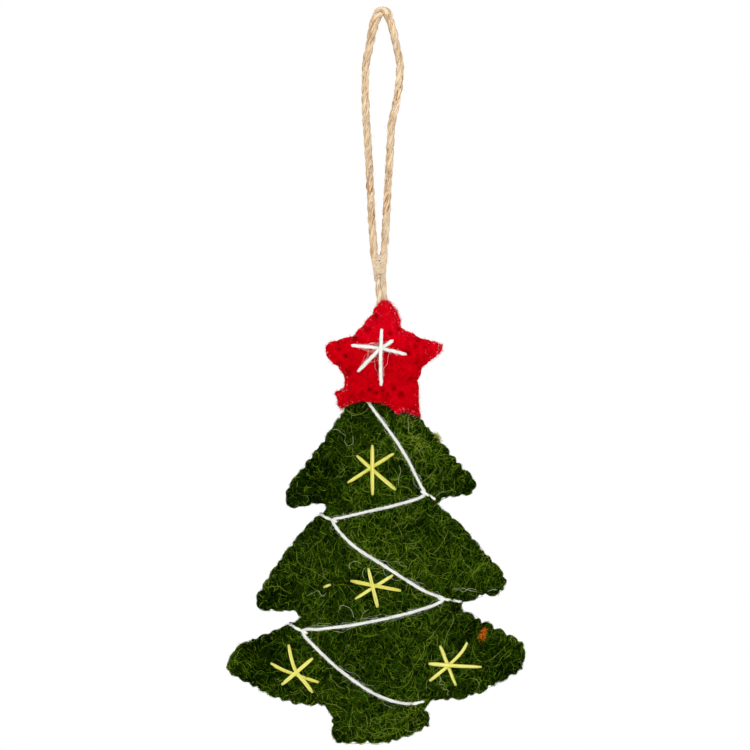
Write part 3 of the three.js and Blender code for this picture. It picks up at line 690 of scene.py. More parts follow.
def subdivided(piece, levels):
    modifier = piece.modifiers.new("finer", "SUBSURF")
    modifier.levels = levels
    modifier.render_levels = levels
    apply_all(piece)


def stuffed(piece, held, pressure, cap, frames=20, larger=5.0):
    """Blows a closed shell up like filling pushed into it. held points stay, and none moves past the cap."""
    piece.data.transform(Matrix.Scale(larger, 4))
    before = places_of(piece)
    pins = piece.vertex_groups.new(name="seam")
    pins.add([int(i) for i in np.flatnonzero(held)], 1.0, "REPLACE")
    cloth = piece.modifiers.new("filling", "CLOTH")
    cloth.settings.use_pressure = True
    cloth.settings.uniform_pressure_force = pressure
    cloth.settings.vertex_group_mass = "seam"
    cloth.settings.effector_weights.gravity = 0
    cloth.settings.quality = 6
    for number in range(1, frames + 1):
        bpy.context.scene.frame_set(number)
    shaped = piece.evaluated_get(bpy.context.evaluated_depsgraph_get())
    after = np.empty(len(before) * 3)
    shaped.data.vertices.foreach_get("co", after)
    after = after.reshape(-1, 3)
    piece.modifiers.remove(cloth)
    piece.vertex_groups.remove(pins)
    bpy.context.scene.frame_set(1)
    move = after - before
    size = np.linalg.norm(move, axis=1, keepdims=True)
    move *= np.minimum(1, cap * larger / np.maximum(size, 1e-9))
    set_places(piece, (before + move) / larger)


tree_outline = eased_outline(tree_corners, 0.6 * mm)
tree = slab("tree_felt", tree_outline, tree_thickness)
remeshed(tree, tree_mesh)
co = places_of(tree)
depth, _, _ = edge_places(co[:, [0, 2]], tree_outline)
stuffed(tree, depth < 0.9 * mm, filling_pressure, filling_rise)
subdivided(tree, 2)
co = places_of(tree)
co[:, 1] *= tree_crown / np.abs(co[:, 1]).max()
co[:, 1] *= 0.5 + 0.5 * smoothstep(tree_top - co[:, 2], 6 * mm, 34 * mm)
depth, along, inward = edge_places(co[:, [0, 2]], tree_outline)
tree_run = edge_length(tree_outline)
outline_run = np.linspace(0, tree_run, len(tree_outline))
stitch_count = int(round(tree_run / stitch_pitch))
dice = np.random.default_rng(23)
stitch_spots = (np.arange(stitch_count) + dice.uniform(-0.32, 0.32, stitch_count)) * tree_run / stitch_count
stitch_x, stitch_z = (np.interp(stitch_spots % tree_run, outline_run, row) / mm for row in tree_outline.T)
stitch_pull = dice.uniform(0.1, 0.7, stitch_count)
for x, z, reach, amount in tight_places:
    stitch_pull += amount * np.exp(-((stitch_x - x) ** 2 + (stitch_z - z) ** 2) / reach ** 2)
gap, near = nearest_along(along, stitch_spots, tree_run)
pull = stitch_pull[near]
valley = mound(gap, 0.7 * mm) * pull
fade = 1 - smoothstep(depth, 0.6 * mm, 3.0 * mm)
lobe = (1 - mound(gap, 0.9 * mm)) * fade
seam = mound(co[:, 1], 0.42 * mm) * (1 - smoothstep(depth, 0.2 * mm, 1.4 * mm))
push = 0.65 * mm * valley * fade + 0.5 * mm * seam - 0.16 * mm * lobe
co[:, [0, 2]] += inward * push[:, None]
hole = mound(depth - 2.2 * mm, 0.8 * mm) * mound(gap, 0.7 * mm) * pull
co[:, 1] *= 1 - 0.42 * np.minimum(valley * fade, 1) + 0.1 * lobe
co[:, 1] -= np.sign(co[:, 1]) * 0.42 * mm * hole
co[:, 1] += np.sign(co[:, 1]) * smoothstep(np.abs(co[:, 1]), 0.3 * mm, 1.5 * mm) * (
    0.2 * mm * lumps(co, 9 * mm, dice) + 0.09 * mm * lumps(co, 2.6 * mm, dice)
    + 0.05 * mm * lumps(co, 1.1 * mm, dice))
set_places(tree, co)
tree.data.shade_smooth()


def painted_shading_and_mottle(places):
    """How much darker each point is painted: painted shade at the tiers' tips, in the notches and under the
    star, painted highlights below 0 where it is paler, and the slow random mottle of the dyed wool over all.
    """
    dark = np.zeros(len(places))
    for x, z, reach, amount in painted_shading_spots:
        dark += amount * patch_at(places, x, z, reach)
    return np.clip(dark + 0.22 * lumps(places, 11 * mm, np.random.default_rng(5)), -1, 1)


# Painted shade in the felt's colour: at the painted shading spots, in the stitch valleys and the holes along
# the edge, with the felt's random mottle.
painted_shade_and_tone = 0.75 * painted_shading_and_mottle(co) + 0.25 * np.minimum(valley * fade, 1) + 0.35 * np.minimum(hole, 1)
give_values(tree, "painted_shade_and_tone", np.clip(painted_shade_and_tone, 0, 1))


def felt_tangle():
    """Felted wool: curly fibres in three lays, and the slow cloudiness of the dyed batt."""
    group, given = new_group(
        "felt_tangle", [("Vector", "Vector"), ("Spacing", "Float"), ("Width", "Float")],
        [("Fibres", "Float"), ("Gaps", "Float"), ("Clouds", "Float"), ("Height", "Float")])

    def moved(operation, **inputs):
        return wire(group, "ShaderNodeVectorMath", {"operation": operation}, **inputs).outputs[0]

    sized = moved("SCALE", i0=given["Vector"], Scale=1 / mm)
    pitch = moved("SCALE", i0=sized, Scale=reckoned(group, "DIVIDE", 1.0, given["Spacing"]))
    curl = noise(group, pitch, 0.7, 2.0).outputs["Color"]
    centred = moved("SUBTRACT", i0=curl, i1=(0.5, 0.5, 0.5))
    bent = moved("MULTIPLY_ADD", i0=centred, i1=(1.6, 1.6, 1.6), i2=pitch)
    fibres = 0.0
    for turn, stretch, shift in ((0.35, 0.4, 3.1), (1.5, 0.45, 17.7), (2.55, 0.35, 41.3)):
        laid = wire(group, "ShaderNodeMapping", Vector=bent, Location=(shift, shift * 1.7, -shift),
                    Rotation=(0.2, turn, 0.1), Scale=(1.0, 1.0, stretch))
        level = noise(group, laid.outputs[0], 1.0, 1.0, 0.4).outputs[0]
        away = reckoned(group, "ABSOLUTE", reckoned(group, "SUBTRACT", level, 0.5))
        fibres = reckoned(group, "MAXIMUM", fibres, ranged(group, away, 0.0, given["Width"], 1.0, 0.0))
    gaps = ranged(group, noise(group, bent, 0.9, 3.0, 0.6).outputs[0], 0.36, 0.6)
    clouds = ranged(group, noise(group, sized, 0.12, 3.0, 0.6).outputs[0], 0.3, 0.7)
    height = reckoned(group, "MULTIPLY_ADD", gaps, 0.7, fibres)
    wire(group, "NodeGroupOutput", Fibres=fibres, Gaps=gaps, Clouds=clouds, Height=height)
    return group


tangle = felt_tangle()


def colour_mix(tree, share, first, second):
    """One colour going over to another by a share."""
    return wire(tree, "ShaderNodeMix", {"data_type": "RGBA"}, i0=share, i6=first, i7=second).outputs[2]


def felt_finish(name, gaps, body, fibres, clouds, cloudy, shine, spacing, width, relief):
    """Thick wool felt: dark in the gaps between fibres, paler on them, a little cloudy,
    and darker where the mesh's painted shade and tone says so."""
    material, tree, shader = finish_of(name, 0.95, 0.0, 0.0)
    place = wire(tree, "ShaderNodeTexCoord").outputs["Object"]
    felt = wire(tree, "ShaderNodeGroup", {"node_tree": tangle}, Vector=place, Spacing=spacing,
                Width=width).outputs
    colour = colour_mix(tree, felt["Gaps"], gaps, body)
    colour = colour_mix(tree, reckoned(tree, "MULTIPLY", felt["Clouds"], cloudy), colour, clouds)
    colour = colour_mix(tree, reckoned(tree, "MULTIPLY", felt["Fibres"], shine), colour, fibres)
    # Painted shade: the colour goes over towards the gap colour where the mesh asks for it.
    painted_shade_and_tone = wire(tree, "ShaderNodeAttribute", {"attribute_name": "painted_shade_and_tone"}).outputs["Fac"]
    colour = colour_mix(tree, reckoned(tree, "MULTIPLY", painted_shade_and_tone, 0.7), colour, gaps)
    tree.links.new(colour, shader.inputs["Base Color"])
    tree.links.new(ranged(tree, felt["Fibres"], to_low=1.0, to_high=0.8), shader.inputs["Roughness"])
    bumps = wire(tree, "ShaderNodeBump", Strength=relief, Distance=0.22 * mm, Height=felt["Height"])
    tree.links.new(bumps.outputs[0], shader.inputs["Normal"])
    return material


green_felt = felt_finish(
    "green_felt", gaps=srgb(0, 3, 0), body=srgb(8, 19, 0), fibres=srgb(66, 92, 18), clouds=srgb(20, 38, 3),
    cloudy=0.5, shine=0.6, spacing=1.0, width=0.036, relief=0.9)
tree.data.materials.append(green_felt)
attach(tree, "ornament")
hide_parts("tree_front_felt", "tree_back_felt", "tree_stuffing")


def skin_of(piece):
    """A search tree over a piece's surface."""
    mesh = piece.data
    corners = [v.co.copy() for v in mesh.vertices]
    return BVHTree.FromPolygons(corners, [tuple(p.vertices) for p in mesh.polygons])


tree_skin = skin_of(tree)


def on_front(skin, x, z, lift=0.0, back=False):
    """The point of a surface straight in front of (x, z), moved out by lift."""
    way = -1 if back else 1
    hit = skin.ray_cast(Vector((x, -0.05 * way, z)), Vector((0, way, 0)))[0]
    if hit is None:
        return None
    return np.array((x, hit.y - way * lift, z))


# The edge thread: fine green sewing thread, whipped over both edges of the tree.
# It has sunk into the felt, and shows only at the foot of each valley between two lobes.
thread_bite = 2.1 * mm
thread_slant = 0.5 * mm
thread_points = 14


def evened(path, points):
    """A path given again as that many points."""
    k = np.linspace(0, len(path) - 1, points)
    return np.stack([np.interp(k, np.arange(len(path)), path[:, i]) for i in range(path.shape[1])], axis=1)


def edge_spot(outline, run, spot_along):
    """A spot on a closed outline, the way in from it and the way ahead along it."""
    k = int(spot_along / run * len(outline)) % len(outline)
    ahead = outline[(k + 1) % len(outline)] - outline[k - 1]
    return outline[k], edge_places(outline[k][None], outline)[2][0], unit(ahead)


def over_edge(front, over, rear, way, sink_in, sink_down, step):
    """One stitch over an edge: out of the felt in front, over the rim, and into the felt again behind."""
    into = np.array((way[0] * sink_in, sink_down, way[1] * sink_in))
    route = [front + into, front, *over, rear, rear + into * (1, -1, 1)]
    return evened(smooth_route(route, step), thread_points)


thread_paths = []
for spot_along in stitch_spots:
    here, way, ahead = edge_spot(tree_outline, tree_run, spot_along)
    bite = here + way * thread_bite
    if edge_places(bite[None], tree_outline)[0][0] < 1.5 * mm:
        continue
    front = on_front(tree_skin, *(bite - ahead * thread_slant), lift=0.05 * mm)
    rear = on_front(tree_skin, *(bite + ahead * thread_slant), lift=0.05 * mm, back=True)
    if front is None or rear is None:
        continue
    rim = here + way * 0.6 * mm
    levels = (front[1] * 0.55, 0, rear[1] * 0.55)
    over = [np.array(tree_skin.find_nearest((rim[0], level, rim[1]))[0]) for level in levels]
    thread_paths.append(over_edge(front, over, rear, way, 0.5 * mm, 1.2 * mm, 0.6 * mm))
tree_thread = strands("tree_edge_stitches", thread_paths, 0.19 * mm, 6,
                      dice.uniform(0.2, 0.6, len(thread_paths)))
green_thread = fibre_finish("green_thread", [
    (0.0, srgb(8, 16, 0)), (0.5, srgb(24, 38, 2)), (1.0, srgb(54, 72, 14))],
    streak=0.2, sheen=0.0, specular=0.0)
tree_thread.data.materials.append(green_thread)
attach(tree_thread, "ornament")
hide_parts("tree_edge_thread")

# The star: two cut-outs of red felt, one in front of the tree's tip and one behind it,
# sewn to each other past the tree and through it with red thread that has sunk out of sight in dimples.
star_corners = [
    (-0.4, -73.8), (-1.9, -75.4), (-3.0, -77.4), (-4.9, -79.6), (-6.7, -81.8), (-8.1, -83.2),
    (-11.4, -84.0), (-14.0, -84.6), (-15.0, -85.8), (-15.0, -87.8), (-14.2, -89.2), (-11.9, -91.1),
    (-10.3, -93.2), (-9.9, -94.8), (-10.3, -96.6), (-11.1, -97.2), (-12.7, -97.5), (-13.0, -98.2),
    (-11.9, -98.8), (-11.9, -100.8), (-11.2, -102.2), (-9.3, -100.8), (-6.2, -100.3), (-3.0, -100.3),
    (0.1, -100.8), (1.9, -101.8), (3.2, -103.2), (4.8, -102.7), (6.3, -102.7), (7.9, -103.7),
    (9.6, -104.5), (9.2, -102.6), (9.0, -99.7), (9.0, -97.1), (9.0, -94.5), (9.8, -91.9), (11.3, -90.0),
    (13.9, -88.1), (15.3, -86.3), (15.0, -85.3), (13.9, -84.8), (10.5, -84.0), (7.6, -82.4), (5.5, -81.9),
    (4.4, -80.5), (4.2, -78.7), (3.5, -76.8), (2.4, -75.3), (1.2, -73.8)]
star_ease = 0.9
star_dimples = [
    (-11.7, -86.45), (-2.0, -78.13), (-4.34, -81.51), (1.64, -82.55), (8.14, -85.8), (8.4, -90.09),
    (-7.72, -83.59), (-9.02, -92.43), (-2.0, -97.89), (-5.64, -98.15), (2.42, -96.85), (6.84, -94.38),
    (-0.4, -97.2), (0.9, -98.4), (4.4, -98.2), (-3.6, -97.0), (-9.9, -88.3), (6.3, -87.6)]
dimple_reach = 0.75
star_thickness = 2.0 * mm
star_mesh = 0.62 * mm
star_puff = 1.5 * mm
star_puff_reach = 4.5 * mm
grid_step = 0.4 * mm
grid_x = np.arange(-20 * mm, 20 * mm, grid_step)
grid_z = np.arange(-109 * mm, -70 * mm, grid_step)
star_outline = eased_outline([(x, z, star_ease) for x, z in star_corners], 0.4 * mm)
star_run = edge_length(star_outline)
dimple_along = edge_places(np.array(star_dimples) * mm, star_outline)[1]


def star_bed(back):
    """How far from the seam plane the inner face of a star felt lies: over the tree's tip and the twine,
    puffed a little elsewhere, and sewn close at the edge."""
    flat = np.stack(np.meshgrid(grid_x, grid_z, indexing="ij"), axis=-1).reshape(-1, 2)
    tip = np.zeros(len(flat))
    for i, (x, z) in enumerate(flat):
        hit = on_front(tree_skin, x, z, back=back) if z < tree_top else None
        tip[i] = abs(hit[1]) + 0.1 * mm if hit is not None else 0
    twine = 0.85 * mm * np.exp(-((flat[:, 0] + 0.3 * mm) / (2.0 * mm)) ** 4)
    tip = np.maximum(tip, twine * smoothstep(flat[:, 1], -86 * mm, -83 * mm))
    depth, _, _ = edge_places(flat, star_outline)
    rise = np.clip(depth / star_puff_reach, 0, 1)
    bed = np.maximum(tip, star_puff * (1 - (1 - rise) ** 2))
    bed = bed.reshape(len(grid_x), len(grid_z))
    tip = tip.reshape(bed.shape)
    sewn = (0.25 + 0.75 * smoothstep(depth, 0, 2.2 * mm)).reshape(bed.shape)
    for _ in range(14):
        for axis in (0, 1):
            bed = (np.roll(bed, 1, axis) + 2 * bed + np.roll(bed, -1, axis)) / 4
    return np.maximum(bed * sewn, tip) + 0.04 * mm


def from_grid(grid, x, z):
    """What a grid holds at each place, evened between its points."""
    i = np.clip((x - grid_x[0]) / grid_step, 0, len(grid_x) - 1.001)
    j = np.clip((z - grid_z[0]) / grid_step, 0, len(grid_z) - 1.001)
    i0, j0 = i.astype(int), j.astype(int)
    u, v = i - i0, j - j0
    return (grid[i0, j0] * (1 - u) * (1 - v) + grid[i0 + 1, j0] * u * (1 - v)
            + grid[i0, j0 + 1] * (1 - u) * v + grid[i0 + 1, j0 + 1] * u * v)


def upper_or_arm(places):
    """How far up the peak or out along an arm of the star each point is, where its red is palest."""
    up = smoothstep(places[:, 2], -89 * mm, -82 * mm)
    out = smoothstep(np.abs(places[:, 0]), 8 * mm, 12 * mm) * smoothstep(places[:, 2], -94 * mm, -91 * mm)
    return np.maximum(up, out)


red_felt = felt_finish(
    "red_felt", gaps=srgb(156, 0, 3), body=srgb(213, 0, 19), fibres=srgb(224, 6, 33), clouds=srgb(198, 0, 11),
    cloudy=0.55, shine=0.3, spacing=1.6, width=0.05, relief=0.4)
star_felts = {}
for felt_name, node_name, way in (("star_felt_front", "star_front_felt", -1),
                                  ("star_felt_back", "star_back_felt", 1)):
    felt = slab(felt_name, star_outline, star_thickness)
    remeshed(felt, star_mesh)
    subdivided(felt, 1)
    co = places_of(felt)
    depth, along, inward = edge_places(co[:, [0, 2]], star_outline)
    gap, _ = nearest_along(along, dimple_along, star_run)
    valley = mound(gap, 0.8 * mm) * (1 - smoothstep(depth, 0.4 * mm, 2.4 * mm))
    fray = lumps(co, 1.6 * mm, dice) * (1 - smoothstep(depth, 0, 1.2 * mm))
    push = 0.22 * mm * valley + 0.14 * mm * fray
    sunk = sum(patch_at(co, x, z, dimple_reach) for x, z in star_dimples)
    crease = mound(co[:, 0] - 10.5 * mm - 0.05 * (co[:, 2] + 87 * mm), 0.5 * mm) * smoothstep(
        -np.abs(co[:, 2] + 87.2 * mm), -3.6 * mm, -2.4 * mm)
    left_arm_shade = patch_at(co, -12, -87, 5)
    low_tip_shadow = patch_at(co, 8, -102.8, 2.6)
    middle = 1 - upper_or_arm(co)
    # Painted shade in the star's colour: in the dimples, the edge valleys and the crease, on the left arm and
    # as a shadow at the low tip; and darker in the middle, away from the peak and arms.
    painted_shade_and_tone = sunk ** 4 * 1.4 + 0.4 * valley + 0.36 * middle + 0.22 * left_arm_shade + 0.4 * low_tip_shadow + 0.6 * crease
    rim = 1 - smoothstep(depth, 0, 1.6 * mm)
    thin = 1 - 0.3 * np.minimum(sunk + 0.6 * valley, 1) - 0.2 * crease - 0.18 * rim
    uneven = 0.1 * mm * lumps(co, 5 * mm, dice) + 0.05 * mm * lumps(co, 1.4 * mm, dice)
    bed = from_grid(star_bed(way > 0), co[:, 0], co[:, 2])
    outer = smoothstep(co[:, 1] * way, -star_thickness / 2, star_thickness / 2)
    co[:, 1] = way * (bed + outer * (star_thickness * thin + uneven) - 0.75 * mm * np.minimum(sunk, 1) * outer)
    co[:, [0, 2]] += inward * push[:, None]
    set_places(felt, co)
    felt.data.shade_smooth()
    give_values(felt, "painted_shade_and_tone", np.clip(painted_shade_and_tone, 0, 1))
    felt.data.materials.append(red_felt)
    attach(felt, "ornament")
    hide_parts(node_name)
    star_felts[felt_name] = felt
star_front = star_felts["star_felt_front"]
star_skin = skin_of(star_front)

# The star's thread: red sewing thread, seen only as short bars at the foot of the dimples
# along the edge, where it goes over from one felt to the other.
star_thread_paths = []
for spot_along in dimple_along:
    here, way, _ = edge_spot(star_outline, star_run, spot_along)
    front = on_front(star_skin, *(here + way * 1.5 * mm), lift=0.02 * mm)
    if front is None:
        continue
    rim = here + way * 0.6 * mm
    over = [(rim[0], front[1] * share, rim[1]) for share in (0.7, 0, -0.7)]
    star_thread_paths.append(over_edge(front, over, front * (1, -1, 1), way, 0.4 * mm, 1.0 * mm, 0.4 * mm))
star_thread = strands("star_edge_stitches", star_thread_paths, 0.16 * mm, 6,
                      dice.uniform(0.2, 0.6, len(star_thread_paths)))
red_thread = fibre_finish("red_thread", [
    (0.0, srgb(110, 0, 4)), (0.5, srgb(170, 0, 8)), (1.0, srgb(205, 4, 16))],
    streak=0.2, sheen=0.0, specular=0.0)
star_thread.data.materials.append(red_thread)
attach(star_thread, "ornament")
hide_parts("star_edge_thread_left", "star_edge_thread_right")

# The garland: soft white wool yarn of three plies, laid to and fro down the front of the tree.
# At each turn a stitch of two-ply yarn ties it to the notch in the edge and goes round to the back.
garland_route = [
    (-5.4, -98.2), (-4.1, -100.1), (-2.9, -101.9), (3.7, -111.0), (6.8, -116.3), (9.4, -121.6),
    (10.65, -124.1), (9.6, -125.0), (3.6, -126.9), (-3.6, -128.6), (-10.4, -130.2), (-13.25, -130.9),
    (-12.9, -132.0), (-8.8, -136.8), (1.8, -143.9), (11.0, -149.6), (15.6, -151.5), (14.6, -152.3),
    (9.4, -154.3), (-5.0, -157.7), (-16.6, -159.3), (-21.0, -159.6), (-20.8, -160.6), (-17.6, -164.2),
    (-10.0, -171.0), (-1.5, -176.5), (5.3, -178.6), (9.6, -178.4)]
garland_ties = [
    ((10.0, -123.6), (13.65, -125.6)), ((-12.6, -131.3), (-16.25, -129.4)),
    ((14.6, -151.3), (20.2, -152.1)), ((-20.2, -160.3), (-24.2, -157.9)), ((7.8, -178.7), (10.6, -178.0))]
garland_step = 0.35 * mm
yarn_ply, yarn_offset, yarn_pitch = 0.23 * mm, 0.12 * mm, 5 * mm
tie_ply, tie_offset, tie_pitch = 0.24 * mm, 0.14 * mm, 4 * mm
yarn_fibres, tie_fibres = 1100, 60
tucked_points = 10


def seen_on(skin, places):
    """Where the line of sight to each (x, z) in the seam plane meets a surface, as (x, z) in metres."""
    eye = camera.location
    found = []
    for x, z in places:
        sight = Vector((x * mm, 0, z * mm)) - eye
        hit = skin.ray_cast(eye, sight.normalized())[0]
        found.append((hit.x, hit.z) if hit is not None else (x * mm, z * mm))
    return np.array(found)


def line_gap(points, line):
    """How far each point (x, z) is from a bent line."""
    best = np.full(len(points), 1.0)
    for a, b in zip(line, line[1:]):
        side = b - a
        t = np.clip(((points - a) @ side) / max(side @ side, 1e-12), 0, 1)
        best = np.minimum(best, np.linalg.norm(points - a - t[:, None] * side, axis=1))
    return best


def pressed(piece, lines, width, depth):
    """Presses the front of a soft piece in along lines that thread or yarn is drawn down on."""
    co = places_of(piece)
    front = np.flatnonzero(co[:, 1] < -0.5 * mm)
    for line in lines:
        line = np.asarray(line, float)
        low, high = line.min(axis=0) - 4 * width, line.max(axis=0) + 4 * width
        flat = co[front][:, [0, 2]]
        near = front[((flat > low) & (flat < high)).all(axis=1)]
        co[near, 1] += depth * np.exp(-(line_gap(co[near][:, [0, 2]], line) / width) ** 2)
    set_places(piece, co)


def drawn_tight(heights):
    """The heights of a string pulled tight over them."""
    tight = heights.copy()
    for i in range(len(heights)):
        for j in range(i + 2, len(heights)):
            t = np.arange(1, j - i) / (j - i)
            tight[i + 1:j] = np.maximum(tight[i + 1:j], heights[i] * (1 - t) + heights[j] * t)
    return tight


def soft_yarn(path, plies, radius, offset, pitch, skin_fibres, dice):
    """Soft spun yarn along a path: its plies, and loose fibres lying on them."""
    laid = twisted(path, plies, offset, pitch)
    core = strands("yarn_core", laid, radius * wavy(plies, len(path), len(path) / 14, 0.1, dice), 10,
                   dice.uniform(0.45, 0.7, plies), (0, 0.5))
    skin = strands("yarn_skin", lying_fibres(laid, radius, skin_fibres, (2 * mm, 6 * mm), dice, 1.02),
                   0.055 * mm, 3, dice.uniform(0.2, 1.0, skin_fibres), (0.5, 1))
    return [core, skin]


garland_line = smooth_route(seen_on(tree_skin, garland_route), garland_step)
ties = [seen_on(tree_skin, tie) for tie in garland_ties]
pressed(tree, [garland_line], 0.9 * mm, 0.3 * mm)
pressed(tree, ties, 0.8 * mm, 0.3 * mm)
tree_skin = skin_of(tree)
garland_path = np.array([on_front(tree_skin, x, z, 0.25 * mm) for x, z in garland_line])
smoothed = np.convolve(np.pad(garland_path[:, 1], 4, mode="edge"), np.ones(9) / 9, mode="valid")
garland_path[:, 1] = np.minimum(smoothed, garland_path[:, 1] + 0.12 * mm)
garland_path[-tucked_points:, 1] += 0.12 * mm * np.arange(1, tucked_points + 1)
garland_pieces = soft_yarn(garland_path, 3, yarn_ply, yarn_offset, yarn_pitch, yarn_fibres, dice)
for inner, edge in ties:
    way = unit(edge - inner)
    over = [on_front(tree_skin, *(inner + (edge - inner) * t), lift=0.36 * mm) for t in (0.0, 0.3, 0.6, 0.85)]
    over = [p for p in over if p is not None]
    rear = on_front(tree_skin, *(inner + (edge - inner) * 0.5), lift=0.2 * mm, back=True)
    rim = edge + way * 0.1 * mm
    tie_path = smooth_route([
        over[0] + (-way[0] * 0.6 * mm, 1.3 * mm, -way[1] * 0.6 * mm), *over,
        (rim[0], -1.5 * mm, rim[1]), (rim[0], 1.2 * mm, rim[1]), rear,
        rear + (-way[0] * 0.8 * mm, -1.6 * mm, -way[1] * 0.8 * mm)], 0.3 * mm)
    garland_pieces += soft_yarn(tie_path, 2, tie_ply, tie_offset, tie_pitch, tie_fibres, dice)
garland = joined("garland_white_yarn", garland_pieces)
white_yarn = fibre_finish("white_yarn", [
    (0.0, srgb(204, 205, 188)), (0.4, srgb(244, 245, 236)), (1.0, srgb(255, 255, 253))],
    streak=0.3, sheen=0.1, bump=0.35)
garland.data.materials.append(white_yarn)
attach(garland, "ornament")
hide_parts("garland_yarn")

# The embroidered stars: six-ray stars of pale yellow stranded floss, three flat stitches crossing in each,
# drawn down into the felt at both ends, and one short travel stitch beside the middle star.
floss_stars = {
    "yellow_star_top": [
        ((-9.7, -121.4), (3.0, -113.4)), ((-7.3, -113.9), (3.4, -123.3)), ((-2.9, -124.8), (-3.0, -111.0))],
    "yellow_star_middle": [
        ((-7.7, -151.6), (2.7, -145.0)), ((-9.0, -146.6), (4.9, -149.3)), ((-1.5, -153.9), (-4.1, -143.2))],
    "yellow_star_lower_left": [
        ((-29.8, -167.9), (-26.3, -169.8), (-20.3, -172.0), (-16.5, -173.2)),
        ((-24.8, -162.9), (-23.9, -167.2), (-22.7, -170.3), (-20.3, -173.3), (-18.2, -176.1)),
        ((-26.8, -173.9), (-18.2, -166.6))],
    "yellow_star_lower_right": [
        ((14.5, -163.3), (18.9, -174.2)), ((21.9, -162.4), (20.5, -164.9), (16.9, -168.6), (11.6, -173.0)),
        ((11.3, -168.2), (25.8, -169.1))],
    "yellow_travel_stitch": [((-15.9, -148.5), (-13.5, -147.5))]}
floss_width = 0.95 * mm
floss_strand = 0.17 * mm
floss_layer = 0.34 * mm
floss_rows = (4, 3)
floss_points = 26
yellow_floss = fibre_finish("yellow_floss", [
    (0.0, srgb(166, 158, 40)), (0.35, srgb(213, 206, 82)), (0.7, srgb(230, 226, 117)),
    (1.0, srgb(244, 242, 166))], streak=0.22, roughness=0.6, sheen=0.05, bump=0.3)


def stitch_ends(lines):
    """Each end of each line, as a line of its own with next to no length."""
    return [[end, end + 1e-6] for line in lines for end in (line[0], line[-1])]


def laid_stitch(skin, route, rise_over, dice):
    """The strands of one flat stitch: drawn tight over the felt, and down into it at both ends."""
    line = evened(smooth_route(seen_on(skin, route), 0.2 * mm), floss_points)
    ahead = np.gradient(line, axis=0)
    across = unit(np.stack([-ahead[:, 1], ahead[:, 0]], axis=1))
    t = np.linspace(0, 1, floss_points)
    end_gap = np.minimum(t, 1 - t) * length_of(line)
    height = drawn_tight(np.array([-on_front(skin, x, z)[1] for x, z in line]))
    height = height + rise_over * np.sin(math.pi * t)
    height = height - 1.3 * mm * np.maximum(0, 1 - end_gap / (0.55 * mm)) ** 1.6
    squeeze = 0.45 + 0.55 * smoothstep(end_gap, 0, 2.2 * mm)
    half = floss_width / 2
    paths = []
    for row, count in enumerate(floss_rows):
        for i in range(count):
            place = (i - (count - 1) / 2) / ((floss_rows[0] - 1) / 2) * (half - floss_strand)
            sway = 0.05 * mm * np.sin(t * dice.uniform(2, 5) + dice.uniform(*any_angle))
            offset = place * squeeze + sway
            rise = floss_strand * (0.5 + 1.1 * row) - 0.12 * mm * (place / half) ** 2
            paths.append(np.stack([line[:, 0] + across[:, 0] * offset, -(height + rise),
                                   line[:, 1] + across[:, 1] * offset], axis=1))
    return paths


for stitches in floss_stars.values():
    lines = [seen_on(tree_skin, route) for route in stitches]
    pressed(tree, lines, 0.9 * mm, 0.16 * mm)
    pressed(tree, stitch_ends(lines), 1.3 * mm, 0.5 * mm)
tree_skin = skin_of(tree)
for star_name, stitches in floss_stars.items():
    paths = []
    for layer, route in enumerate(stitches):
        paths += laid_stitch(tree_skin, route, layer * floss_layer, dice)
    floss = strands(star_name + "_floss", paths, floss_strand, 6, dice.uniform(0.3, 0.85, len(paths)))
    floss.data.materials.append(yellow_floss)
    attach(floss, "ornament")
    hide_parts(star_name)

# The white star stitch: the same six rays in soft white yarn of three plies, sewn through the middle
# of the red star. Its stitches lie over each other, and both ends of each are drawn down into the felt.
white_stitches = [
    ((-8.5, -85.5), (-0.9, -86.3), (6.0, -87.9)), ((-6.8, -92.4), (-0.9, -86.5), (2.5, -84.2)),
    ((-0.7, -96.1), (-0.8, -88.5), (-0.5, -81.1))]
white_ply, white_offset, white_pitch = 0.25 * mm, 0.2 * mm, 6 * mm
white_lift = 0.18 * mm
white_layer = 0.42 * mm
white_fibres = 90
white_points = 44
lines = [seen_on(star_skin, route) for route in white_stitches]
pressed(star_front, lines, 0.9 * mm, 0.12 * mm)
pressed(star_front, stitch_ends(lines), 1.1 * mm, 0.35 * mm)
star_skin = skin_of(star_front)
white_pieces = []
white_paths = []
for layer, line in enumerate(lines):
    line = evened(smooth_route(line, 0.2 * mm), white_points)
    t = np.linspace(0, 1, white_points)
    end_gap = np.minimum(t, 1 - t) * length_of(line)
    height = drawn_tight(np.array([-on_front(star_skin, x, z)[1] for x, z in line])) + white_lift
    height += layer * white_layer * np.sin(math.pi * t) ** 2
    height -= 1.2 * mm * np.maximum(0, 1 - end_gap / (0.6 * mm)) ** 1.6
    path = np.stack([line[:, 0], -height, line[:, 1]], axis=1)
    white_paths.append(path)
    white_pieces += soft_yarn(path, 3, white_ply, white_offset, white_pitch, white_fibres, dice)
white_star = joined("white_star_yarn", white_pieces)
white_star.data.materials.append(white_yarn)
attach(white_star, "ornament")
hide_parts("white_star_stitch")

